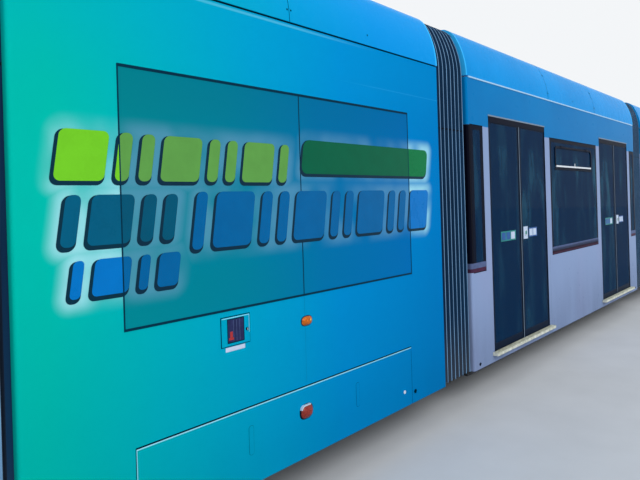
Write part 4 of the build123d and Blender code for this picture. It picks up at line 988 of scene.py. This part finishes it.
def louvre(s, x0, x1, y, z0, z1, side, count=7):
    pitch = (z1 - z0) / count
    for k in range(count):
        z = z0 + pitch * (k + 0.2)
        h = pitch * 0.62
        low = [(x0, y, z), (x1, y, z), (x1, y + 0.014, z - 0.004), (x0, y + 0.014, z - 0.004)]
        high = [(x0, y, z + h), (x1, y, z + h), (x1, y + 0.002, z + h), (x0, y + 0.002, z + h)]
        s.add([(x, side * dy, dz) for x, dy, dz in low + high],
              [(0, 1, 2, 3), (4, 7, 6, 5), (3, 2, 6, 7), (0, 3, 7, 4), (1, 5, 6, 2), (0, 4, 5, 1)])


def fan(s, x, y, top, r):
    """A round grille over a dark well: rim, three hoops, eight arms and a hub."""
    s.lathe((x, y, top), UP, [(0, r + 0.03), (0.028, r + 0.022), (0.030, r), (0.004, r - 0.006), (0.004, 0)], 36, 1)
    bars = top + 0.024
    for hoop in (0.35 * r, 0.6 * r, 0.85 * r):
        s.lathe((x, y, bars), UP, [(0, hoop), (0.004, hoop), (0.004, hoop + 0.006), (0, hoop + 0.006), (0, hoop)],
                32, 2)
    for (c, d), (e, f) in zip(spokes(8, 0.03), spokes(8, r)):
        s.rod((x + c, y + d, bars), (x + e, y + f, bars), 0.003, 6, 2)
    s.lathe((x, y, top + 0.018), UP, [(0, 0.045), (0.012, 0.042), (0.014, 0)], 20, 1)


def container_details(s, x0, x1, half, top, fans):
    """Lid ribs, handles, side louvres and fan grilles on one roof container."""
    length = x1 - x0
    for x in spread(x0, x1, 6)[1:-1]:
        s.box(x - 0.018, x + 0.018, -half + 0.07, half - 0.07, top - 0.002, top + 0.010)
    for side in (-1, 1):
        s.box(x0 + 0.05, x1 - 0.05, side * (half - 0.012), side * (half + 0.012), top - 0.07, top - 0.045)
        for a in spread(x0 + 0.12, x1 - 0.12, 4)[:-1]:
            b = a + (length - 0.24) / 3 - 0.08
            s.box(a - 0.012, b + 0.012, side * half, side * (half + 0.004), DECK + 0.10, top - 0.11, 1)
            louvre(s, a, b, half + 0.004, DECK + 0.12, top - 0.13, side)
        for k in range(4):
            x, y = x0 + length * (k + 0.5) / 4, side * (half - 0.10)
            s.sweep([(x - 0.05, y, top), (x - 0.05, y, top + 0.02), (x + 0.05, y, top + 0.02), (x + 0.05, y, top)],
                    0.005, 8, 2)
    for k in range(fans):
        for y in (-half * 0.45, half * 0.45):
            fan(s, x0 + length * (k + 0.5) / fans, y, top, min(0.24, length / fans * 0.36))


def conduits(s, side, x0, x1, rows, clips, clip_in, clip_out):
    """Pipes along the roof's deck, held by clips."""
    for y in rows:
        s.sweep([(x0, side * y, DECK + 0.045), (x1, side * y, DECK + 0.045)], 0.014, 8, 3)
    for x in clips:
        s.box(x - 0.02, x + 0.02, side * clip_in, side * clip_out, DECK, DECK + 0.034)


def roof_gear(start, end, sections):
    s = Soup()
    for a, b, half, top, fans in ((0.060, 0.440, 0.78, 3.29, 2), (0.475, 0.700, 0.70, 3.18, 0),
                                  (0.735, 0.940, 0.72, 3.25, 1)):
        container_details(s, start + a * (end - start), start + b * (end - start), half, top, fans)
    for side in (-1, 1):
        conduits(s, side, start + 0.08, end - 0.08, (0.86, 0.90, 0.94), spread(start + 0.2, end - 0.2, 9), 0.835, 0.965)
    emit("roof_gear", s, "unit grille aluminium rubber", sections, "roof_equipment", 0.002)


def pantograph_details():
    s = Soup()
    for x in (-0.4, 0.82):
        for y in (-0.42, 0.42):
            for k in range(4):
                z = ROOF_BOX + 0.012 + k * 0.021
                s.lathe((x, y, z), UP, [(0, 0.055), (0.003, 0.082), (0.008, 0.084), (0.014, 0.056)], 28, 0)
            s.lathe((x, y, ROOF_BOX), UP, [(0, 0.075), (0.010, 0.075), (0.012, 0.056)], 24, 1)
            for dx, dy in spokes(4, 0.066, math.pi / 4):
                s.stud((x + dx, y + dy, ROOF_BOX + 0.01), UP, 0.008, 0.008, 6, 1)
    emit("insulators", s, "porcelain aluminium", SECTION_C, "roof_equipment")

    # lift springs, damper and a cable from the base to the roof box
    s = Soup()
    turns, steps, radius = 13, 150, 0.030
    for y in (-0.13, 0.13):
        coil = []
        for i in range(steps + 1):
            t = i / steps
            a = 2 * math.pi * turns * t
            coil.append((0.02 + 0.36 * t, y + radius * math.cos(a), 3.145 + radius * math.sin(a) + 0.018 * t))
        s.sweep(coil, 0.0055, 6, 0)
        s.rod((-0.30, y, 3.125), (0.02, y, 3.145), 0.009, 10, 1)
        s.rod((0.38, y, 3.163), (0.46, y, 3.178), 0.009, 10, 1)
    s.rod((-0.36, 0.0, 3.130), (-0.05, 0.0, 3.142), 0.026, 16, 2)
    s.rod((-0.05, 0.0, 3.142), (0.30, 0.0, 3.156), 0.013, 12, 1)
    s.sweep([(x, 0.30, z) for x, z in ((0.86, 3.12), (0.93, 3.125), (0.97, 3.10), (0.98, 3.04), (0.98, ROOF_BOX))],
            0.012, 8, 3)
    s.lathe((0.98, 0.30, ROOF_BOX), UP, [(0, 0.03), (0.012, 0.028), (0.02, 0.016)], 18, 2)
    emit("pantograph_springs", s, "aluminium bright grille copper", SECTION_C, "pantograph_paint")

    # bolted lids, louvres and conduits of the box under the pantograph
    s = Soup()
    lid = ROOF_BOX + 0.010
    for x0, x1 in ((-0.62, -0.10), (0.10, 0.62)):
        s.box(x0, x1, -0.30, 0.30, ROOF_BOX, lid)
        for x in spread(x0 + 0.06, x1 - 0.06, 4):
            for y in (-0.27, 0.27):
                s.stud((x, y, lid), UP, 0.009, 0.006, 6, 1)
    for side in (-1, 1):
        s.box(-0.58, 1.0, side * 0.640, side * 0.644, 2.72, 2.93, 2)
        louvre(s, -0.5, 0.15, 0.644, 2.74, 2.92, side, 6)
        louvre(s, 0.3, 0.95, 0.644, 2.74, 2.92, side, 6)
        conduits(s, side, -1.58, 1.58, (0.80, 0.84), spread(-1.5, 1.5, 6), 0.78, 0.865)
    emit("roof_box", s, "unit aluminium grille rubber", SECTION_C, "roof_equipment", 0.001)


# ---------------- bellows
# One fold of the bellows: place in the fold, depth, and whether the point belongs to the pale beading
FOLD = ((0.06, 0.058, 0), (0.22, 0.026, 0), (0.36, 0.007, 0), (0.42, 0.0, 1), (0.58, 0.0, 1), (0.64, 0.007, 0),
        (0.78, 0.026, 0), (0.94, 0.058, 0))


def bellows_path(inset):
    """The portal's line in Y and Z from the lower edge on the -Y side, over the top, to the other side."""
    low = 0.302
    up = [(HALF - inset, z) for z in spread(low, FAIRING_LOW, 17)[:-1]] + fairing_line(inset, 8)[:-1]
    y, z = up[-1]
    return [(-y, z) for y, z in up] + [(-across, z) for across in spread(y, -y, 21)[1:-1]] + up[::-1]


def bellows(name, pivot):
    """Pleated cloth with a pale beading on each fold, between two dark clamping frames."""
    half, pleats = GAP / 2 - 0.0005, 7
    soft = half - 0.026
    profile = [(-half, 0.026, 0), (-soft, 0.026, 0), (-soft + 0.001, 0.062, 0)]
    for n in range(pleats):
        profile += [(-soft + 2 * soft * (n + t) / pleats, depth, tag) for t, depth, tag in FOLD]
    profile += [(soft - 0.001, 0.062, 0), (soft, 0.026, 0), (half, 0.026, 0)]
    line = [Vector(point) for point in bellows_path(0.017)]
    outer, inner = [], []
    for i, point in enumerate(line):
        run = (line[min(i + 1, len(line) - 1)] - line[max(i - 1, 0)]).normalized()
        inward = Vector((-run.y, run.x))
        if inward.dot(point - Vector((0, 1.6))) > 0:
            inward = -inward
        for x, depth, _ in profile:
            outer.append((pivot + x, *(point + inward * depth)))
            lining = 0.104 - 0.012 * math.cos(math.pi * pleats * x / soft)
            inner.append((pivot + x, *(point + inward * lining)))
    w, last, under = len(profile), len(line) - 1, len(outer)
    faces, tags = [], []
    for i in range(last):
        for k in range(w - 1):
            a = i * w + k
            faces += [(a, a + w, a + w + 1, a + 1), (under + a, under + a + 1, under + a + w + 1, under + a + w)]
            tags += [profile[k][2] * profile[k + 1][2], 0]
    for i in (0, last):
        faces += [(a, a + 1, under + a + 1, under + a) for a in range(i * w, i * w + w - 1)]
    for k in (0, w - 1):
        faces += [(a, under + a, under + a + w, a + w) for a in range(k, k + last * w, w)]
    tags += [0] * (len(faces) - len(tags))
    piece = build(f"bellows_pleats_{name}", outer + inner, faces, tags, "cloth rib", 50)
    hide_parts(f"bellows_{name}")
    pivot - half
    pivot + half
    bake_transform(piece)


# ---------------- interior
def pad(s, centre, along, across, up, size, crown=0.0):
    """A softly rounded pad. size is its length along, across and up."""
    steps, power = 6, 4.5
    axes = [Vector(way).normalized() * length / 2 for way, length in zip((along, across, up), size)]
    up = Vector(up).normalized()
    grid, verts, faces = {}, [], []

    def vertex(p):
        key = tuple(round(c, 6) for c in p)
        if key not in grid:
            r = sum(abs(c) ** power for c in p) ** (1 / power)
            q = [c / r for c in p]
            lift = crown * (1 - q[0] ** 2) * (1 - q[1] ** 2) if q[2] > 0 else 0
            grid[key] = len(verts)
            verts.append(Vector(centre) + axes[0] * q[0] + axes[1] * q[1] + axes[2] * q[2] + up * lift)
        return grid[key]

    for axis in range(3):
        for sign in (-1, 1):
            for i in range(steps):
                for j in range(steps):
                    quad = []
                    for u, v in ((i, j), (i + 1, j), (i + 1, j + 1), (i, j + 1)):
                        p = [0, 0, 0]
                        p[axis] = sign
                        p[(axis + 1) % 3] = 2 * u / steps - 1
                        p[(axis + 2) % 3] = 2 * v / steps - 1
                        quad.append(vertex(p))
                    faces.append(quad if sign > 0 else quad[::-1])
    s.add(verts, faces)


def bench(cloth, shell, x, facing, stand, cushion, y_in=0.40, y_out=1.24):
    """Two seats side by side with a shared shell, a pedestal and a corner grab handle."""
    width = (y_out - y_in) / 2
    recline = math.atan2(0.080, 0.560)
    back_up = Vector((-facing * math.sin(recline), 0, math.cos(recline)))
    back_out = Vector((facing * math.cos(recline), 0, math.sin(recline)))
    for k in range(2):
        y = -(y_in + width * (k + 0.5))
        pad(cloth, (x + facing * 0.225, y, cushion - 0.022), (1, 0, 0), (0, 1, 0), UP, (0.40, width - 0.03, 0.040),
            0.004)
        middle = Vector((x, y, cushion)) + back_up * 0.31 - back_out * 0.018
        pad(cloth, middle, back_up, (0, 1, 0), back_out, (0.46, width - 0.04, 0.034))
    low = cushion - 0.068
    side = [(0.425, cushion - 0.040), (0.425, low + 0.006), (-0.05, low), (-0.068, low + 0.02),
            (-0.146, cushion + 0.552), (-0.118, cushion + 0.556), (-0.040, cushion - 0.02), (-0.01, cushion - 0.040)]
    shell.prism([(x + facing * dx, z) for dx, z in side][::facing], -y_out + 0.004, -y_in - 0.004)
    foot = x + facing * 0.215
    shell.box(foot - 0.10, foot + 0.10, -y_out + 0.11, -y_in - 0.16, stand, low + 0.004, 1)
    grip = Vector((x - facing * 0.125, -y_in - 0.03, cushion + 0.50))
    shell.sweep([grip + Vector((0, dy, dz)) for dy, dz in ((0, 0), (0, 0.045), (-0.05, 0.058), (-0.10, 0.045),
                                                          (-0.10, 0))], 0.010, 8, 2)


def drivers_seat(cloth, shell, x, z):
    for dx, dz, along, up, size, crown in (
            (0.24, -0.03, (1, 0, 0), UP, (0.42, 0.44, 0.09), 0.008),
            (-0.035, 0.34, UP, (1, 0, 0), (0.58, 0.42, 0.07), 0.008),
            (-0.035, 0.58, UP, (1, 0, 0), (0.13, 0.26, 0.06), 0.004)):
        pad(cloth, (x + dx, 0, z + dz), along, (0, 1, 0), up, size, crown)
    rise = z - BOGIE_FLOOR
    shell.lathe((x + 0.22, 0, BOGIE_FLOOR), UP, [
        (0, 0.16), (0.02, 0.16), (0.03, 0.06), (rise - 0.09, 0.06), (rise - 0.08, 0.16), (rise - 0.06, 0.16),
        (rise - 0.06, 0)], 28, 1)
    shell.box(x + 0.02, x + 0.44, -0.21, 0.21, z - 0.08, z - 0.065)
    for side in (-1, 1):
        shell.box(x, x + 0.30, side * 0.215, side * 0.245, z + 0.16, z + 0.20)
        shell.rod((x + 0.02, side * 0.23, z - 0.05), (x + 0.02, side * 0.23, z + 0.17), 0.012, 10, 1)


def interior(sections, rows, driver=None):
    """Benches in rows, each given by its place, facing, what it stands on and its cushion's height."""
    cloth, shell = Soup(), Soup()
    for row in rows:
        bench(cloth, shell, *row)
    cloth.mirrored()
    shell.mirrored()
    if driver:
        drivers_seat(cloth, shell, *driver)
    emit("seat_pads", cloth, "seat", sections, "seat_fabric", padded=0.5, replaces=("seats",))
    emit("seat_shells", shell, "plastic panel pole", sections, "seat_fabric", 0.004, replaces=("seats",))


def linings(sections, x0, x1, floor_z):
    """Ceiling panels with lamp strips and a rubber floor covering along the aisle."""
    s = Soup()
    top = CEILING - 0.001
    for side in (-1, 1):
        s.box(x0 + 0.06, x1 - 0.06, side * 0.42, side * 0.60, CEILING - 0.020, top, 1)
        s.box(x0 + 0.04, x1 - 0.04, side * 0.62, side * 1.20, CEILING - 0.012, top)
    s.box(x0 + 0.04, x1 - 0.04, -0.40, 0.40, CEILING - 0.012, top)
    emit("ceiling_panels", s, "panel lamp_panel", sections, "roof_equipment", 0.003)
    s = Soup()
    s.box(x0 + 0.05, x1 - 0.05, -0.385, 0.385, floor_z + 0.0002, floor_z + 0.003)
    emit("aisle_cover", s, "floor", sections, "underframe")


# ---------------- running gear
def belly_covers(sections, runs):
    """Bolted access covers, cross ribs and two pipes under the floor. A run is its ends, half width, underside
    and bays."""
    s = Soup()
    for x0, x1, half, low, bays in runs:
        ribs = spread(x0, x1, bays + 1)
        for x in ribs:
            s.box(x - 0.022, x + 0.022, -half, half, low - 0.016, low, 1)
        for a, b in zip(ribs, ribs[1:]):
            a, b = a + 0.045, b - 0.045
            for y0, y1 in ((-half + 0.04, -half * 0.38), (-half * 0.33, half * 0.33), (half * 0.38, half - 0.04)):
                s.box(a, b, y0, y1, low - 0.005, low)
                for x in spread(a + 0.03, b - 0.03, 4):
                    for y in (y0 + 0.03, y1 - 0.03):
                        s.stud((x, y, low - 0.005), (0, 0, -1), 0.010, 0.006, 6, 2)
        for y in (-half * 0.355, half * 0.355):
            s.rod((x0, y, low - 0.026), (x1, y, low - 0.026), 0.011, 10, 3)
            for x in ribs:
                s.box(x - 0.03, x + 0.03, y - 0.02, y + 0.02, low - 0.040, low - 0.014, 1)
    emit("belly_covers", s, "underframe bogie wheel rubber", sections, "underframe", 0.0015)


def running_gear(bogie_x, sections):
    s = Soup()
    for end in (-1, 1):
        x = bogie_x + end * WHEELBASE / 2
        for side in (-1, 1):
            # cap with bolts on the motor's outer face, rubber spring on the beam's pad, and a hose
            s.lathe((x, side * 1.08, AXLE_Z), (0, side, 0), [
                (0, 0.150), (0.014, 0.146), (0.018, 0.11), (0.030, 0.105), (0.034, 0.07), (0.034, 0)], 32, 0)
            for dx, dz in spokes(8, 0.128):
                s.stud((x + dx, side * 1.094, AXLE_Z + dz), (0, side, 0), 0.010, 0.010, 6, 1)
            s.lathe((bogie_x + end * 0.33, side * 0.94, 0.30), UP, [
                (0, 0.02), (0.0, 0.045), (0.002, 0.045), (0.002, 0.02)], 16, 2)
            s.sweep([(x - end * dx, side * y, z) for dx, y, z in (
                (0.17, 0.99, 0.41), (0.22, 1.0, 0.44), (0.30, 1.0, 0.43), (0.36, 0.99, 0.38))], 0.014, 8, 2)
    for y in (-0.75, 0.75):
        for k in range(8):
            x = bogie_x - 0.40 + 0.1 * k
            s.box(x + 0.004, x + 0.096, y - 0.038, y + 0.038, 0.036, 0.046, 1)
        for x in (bogie_x - 0.46, bogie_x + 0.42):
            s.lathe((x, y, 0.088), (1, 0, 0), [(0, 0.0), (0, 0.034), (0.04, 0.034), (0.04, 0)], 20, 0)
    emit("truck_fittings", s, "bogie wheel rubber", sections, "bogie_steel", 0.002)


def wheel_details():
    places = [truck + end * WHEELBASE / 2 for truck in (-CAB_BOGIE, 0.0, CAB_BOGIE) for end in (-1, 1)]
    for number, x in enumerate(places, 1):
        s = Soup()
        for side in (-1, 1):
            face, out = (x, side * 0.755, AXLE_Z), (0, side, 0)
            for dx, dz in spokes(12, 0.215):
                s.lathe((x + dx, face[1], AXLE_Z + dz), out, [
                    (-0.03, 0.0), (-0.03, 0.012), (0.012, 0.012), (0.012, 0)], 6, 1)
            s.lathe(face, out, [(0, 0.262), (0.006, 0.262), (0.006, 0.250), (0, 0.250)], 40, 0)
            s.lathe((x, side * 0.808, AXLE_Z), out, [(0, 0.085), (0.006, 0.080), (0.006, 0.052)], 28, 1)
        emit(f"wheel_bolts_{number}", s, "rubber aluminium", [("w", f"wheelset_{number}", False)], "wheel_steel")


# ---------------- nose and cab
def nose_details():
    trees = []
    for kind in ("nose", "lamps", "windows"):
        mesh = nodes[f"{kind}_e"].data
        trees.append(BVHTree.FromPolygons([v.co for v in mesh.vertices], [tuple(p.vertices) for p in mesh.polygons]))

    def front(y, z):
        """The foremost point of the nose there, and its normal."""
        hits = [tree.ray_cast(Vector((NOSE + 1, y, z)), Vector((-1, 0, 0))) for tree in trees]
        return max((hit for hit in hits if hit[0] is not None), key=lambda hit: hit[0].x)[:2]

    # two lamps behind bright rims on each side, and a row of small lights below them
    s = Soup()
    r = 0.062
    for side in (-1, 1):
        for y in (0.60, 0.775):
            p, n = front(side * y, 0.865)
            s.lathe(p + n * 0.001, n, [(-0.004, r + 0.014), (0.007, r + 0.010), (0.006, r)], 32, 1)
            s.lathe(p, n, [(-0.001, r), (0.004, r * 0.92), (0.009, r * 0.6), (0.011, 0)], 32, 0)
        for k in range(7):
            p, n = front(side * (0.55 + 0.05 * k), 0.792)
            s.lathe(p, n, [(-0.001, 0.012), (0.004, 0.010), (0.005, 0)], 14, 2 if k < 5 else 3)
    emit("front_lamps", s, "lens bright lamp_panel orange", SECTIONS_EA, "lamp_lens")

    # windscreen wipers
    s = Soup()
    lean = 0.36
    for side in (-1, 1):
        arm, blade = [], []
        for t in spread(0.0, 1.0, 9):
            p, n = front(side * (0.10 + lean * t), 1.20 + 0.62 * t)
            arm.append(p + n * (0.020 + 0.01 * math.sin(math.pi * t)))
            p, n = front(side * (0.10 + lean + 0.02), 1.46 + 0.72 * t)
            blade.append(p + n * 0.012)
        s.sweep(arm, 0.007)
        s.sweep(blade, 0.008)
        p, n = front(side * 0.10, 1.16)
        s.lathe(p, n, [(0, 0.03), (0.02, 0.026), (0.026, 0)], 20)
    emit("wipers", s, "gasket", SECTIONS_EA, "nose_paint")

    # driver's console with three screens, buttons and a lever
    s = Soup()
    x0, x1, top = NOSE - 0.88, NOSE - 0.42, 1.135
    s.box(x0 + 0.01, x1 - 0.02, -0.76, 0.76, 1.12, top)
    s.prism([(x1 - 0.16, top), (x1 - 0.03, top), (x1 - 0.03, 1.26), (x1 - 0.10, 1.25)], -0.70, 0.70)
    for y in (-0.42, 0.0, 0.42):
        s.box(x1 - 0.20, x1 - 0.17, y - 0.13, y + 0.13, 1.15, 1.33, 1)
        s.box(x1 - 0.203, x1 - 0.20, y - 0.115, y + 0.115, 1.165, 1.315, 2)
    for k in range(8):
        button = (x0 + 0.09, -0.30 + 0.085 * k, top)
        s.lathe(button, UP, [(0, 0.016), (0.008, 0.014), (0.009, 0)], 14, 3 if k % 3 else 4)
    s.rod((x0 + 0.10, 0.50, 1.13), (x0 + 0.12, 0.50, 1.22), 0.010, 10, 1)
    s.lathe((x0 + 0.12, 0.50, 1.215), UP, [(0, 0.0), (0.004, 0.022), (0.03, 0.024), (0.042, 0)], 18, 1)
    emit("console", s, "plastic gasket glass panel red", SECTIONS_EA, "underframe", 0.004)


def cab_rail():
    """An upright grab rail outside, behind the cab's side window."""
    s = Soup()
    x, y = CAB_JOINT + 0.08, -HALF - 0.03
    s.rod((x, y, 1.30), (x, y, 2.10), 0.010, 12)
    for z in (1.31, 2.09):
        s.rod((x, -HALF + 0.01, z), (x, y, z), 0.009, 10)
    emit("cab_rail", s, "pole", SECTIONS_EA, "grab_pole", both=True)


# ---------------- everything
centre_wall()
centre_small_parts()
centre_graphics()
door_section_wall()
cab_section_wall()
side_lamps(SECTIONS_EA, CAB_BOGIE, "gasket")
roof_seams(SECTION_C, (-0.055,), (0.735, -0.845), "centre_roof_paint")
roof_seams(SECTIONS_DB, (DOOR_MIDDLE - 0.848, DOOR_MIDDLE + 0.848), (DOOR_MIDDLE,), "roof_paint")
roof_seams(SECTIONS_EA, (CAB_BOGIE - 0.848, CAB_BOGIE + 0.848), (CAB_BOGIE,), "roof_paint")
roof_gear(DOOR_START, DOOR_END, SECTIONS_DB)
roof_gear(CAB_START, CAB_JOINT, SECTIONS_EA)
pantograph_details()
for name, pivot in (("ab", -PIVOT_E), ("bc", -PIVOT_C), ("cd", PIVOT_C), ("de", PIVOT_E)):
    bellows(name, pivot)

bench_back = WHEELBASE / 2 + 0.215 - 0.02
LOW_CUSHION, HIGH_CUSHION = 0.81, 0.89
interior(SECTION_C, [(-bench_back, 1, BOX_TOP, HIGH_CUSHION), (bench_back, -1, BOX_TOP, HIGH_CUSHION)])
interior(SECTIONS_DB, [(DOOR_WINDOWS[1][0] + 0.12, 1, FLOOR, LOW_CUSHION),
                       (DOOR_WINDOWS[1][1] - 0.12, -1, FLOOR, LOW_CUSHION)])
interior(SECTIONS_EA, [(CAB_BOGIE - bench_back, 1, BOX_TOP, HIGH_CUSHION),
                       (CAB_BOGIE + bench_back, -1, BOX_TOP, HIGH_CUSHION),
                       (CAB_START + 0.56, -1, FLOOR + 0.03, LOW_CUSHION),
                       (CAB_BOGIE + 1.29 + 0.28, 1, BOGIE_FLOOR, HIGH_CUSHION)], (CAB_JOINT + 0.56, HIGH_CUSHION))
linings(SECTION_C, -CENTRE_END, CENTRE_END, BOGIE_FLOOR)
linings(SECTIONS_DB, DOOR_START, DOOR_END, FLOOR)
linings(SECTIONS_EA, CAB_START, CAB_JOINT, BOGIE_FLOOR)
belly_covers(SECTIONS_DB, [(DOOR_START + 0.80, DOOR_END - 0.80, 1.20, 0.24, 5)])
belly_covers(SECTIONS_EA, [(CAB_START + 0.55, CAB_BOGIE - 1.40, 1.15, 0.30, 1),
                           (CAB_BOGIE + 1.40, CAB_JOINT - 0.10, 1.15, 0.30, 1),
                           (CAB_JOINT + 0.10, NOSE - 0.95, 0.95, 0.31, 1)])
running_gear(0.0, SECTION_C)
running_gear(CAB_BOGIE, SECTIONS_EA)
wheel_details()
nose_details()
cab_rail()


# ---------------- floor, light and camera
def studio():
    size = 90.0
    mesh = bpy.data.meshes.new("floor")
    mesh.from_pydata([(-size, -size, 0), (size, -size, 0), (size, size, 0), (-size, size, 0)], [], [(0, 1, 2, 3)])
    floor = bpy.data.objects.new("floor", mesh)
    bpy.context.scene.collection.objects.link(floor)
    s = Shader("floor_pale", 0.85)
    s.colour(s.ramp(s.noise(2.0, 5.0), [(0.3, (0.56, 0.58, 0.60)), (0.7, (0.60, 0.62, 0.64))]))
    mesh.materials.append(s.mat)

    # a soft sky lights the tram; the camera, metal and glass see a pale backdrop
    world = bpy.data.worlds.new("studio")
    bpy.context.scene.world = world
    world.use_nodes = True
    w = Tree(world.node_tree)
    w.nodes.clear()
    seen, glossy, through = (w.add("LightPath", {}, f"Is {kind} Ray") for kind in ("Camera", "Glossy", "Transmission"))
    pick = w.math("ADD", seen, w.math("MAXIMUM", glossy, through), True)
    height = w.add("SeparateXYZ", {0: w.add("TexCoord", {}, "Generated")}, "Z")
    stops = [(0.0, (0.46, 0.50, 0.56)), (0.18, (0.70, 0.75, 0.82)), (0.75, (1.0, 1.04, 1.10))]
    sky = w.add("Background", {0: w.ramp(height, stops), 1: 0.72})
    pale = w.add("Background", {0: (0.90, 0.92, 0.94), 1: 1.0})
    out = w.nodes.new("ShaderNodeOutputWorld")
    w.set(out.inputs[0], w.add("MixShader", {0: pick, 1: sky, 2: pale}))

    for name, energy, angle, way in (("key", 1.6, 0.6, (0.45, 1.0, -0.85)), ("fill", 0.5, 1.0, (-0.5, -1.0, -0.9))):
        sun = bpy.data.lights.new(name, "SUN")
        sun.energy, sun.angle = energy, angle
        lamp = bpy.data.objects.new(name, sun)
        lamp.rotation_euler = Vector(way).to_track_quat("-Z", "Y").to_euler()
        bpy.context.scene.collection.objects.link(lamp)


def camera():
    """The photograph's camera, as fitted to the tram's straight edges."""
    data = bpy.data.cameras.new("photo")
    data.sensor_width = 36.0
    data.lens = 34.3125
    data.shift_y = -0.0581
    data.clip_end = 300
    eye = bpy.data.objects.new("photo", data)
    place = (-2.7138, -3.7802, 1.8058)
    ahead = Vector((0.7616, 0.6480, 0.0)).normalized()
    right = Vector((ahead.y, -ahead.x, 0.0))
    roll = Matrix.Rotation(math.radians(-1.7213), 3, "Z")
    turn = Matrix((right, Vector(UP), -ahead)).transposed() @ roll
    eye.matrix_world = Matrix.Translation(place) @ turn.to_4x4()
    bpy.context.scene.collection.objects.link(eye)
    bpy.context.scene.camera = eye


studio()
camera()
bpy.context.scene.view_settings.view_transform = "Standard"
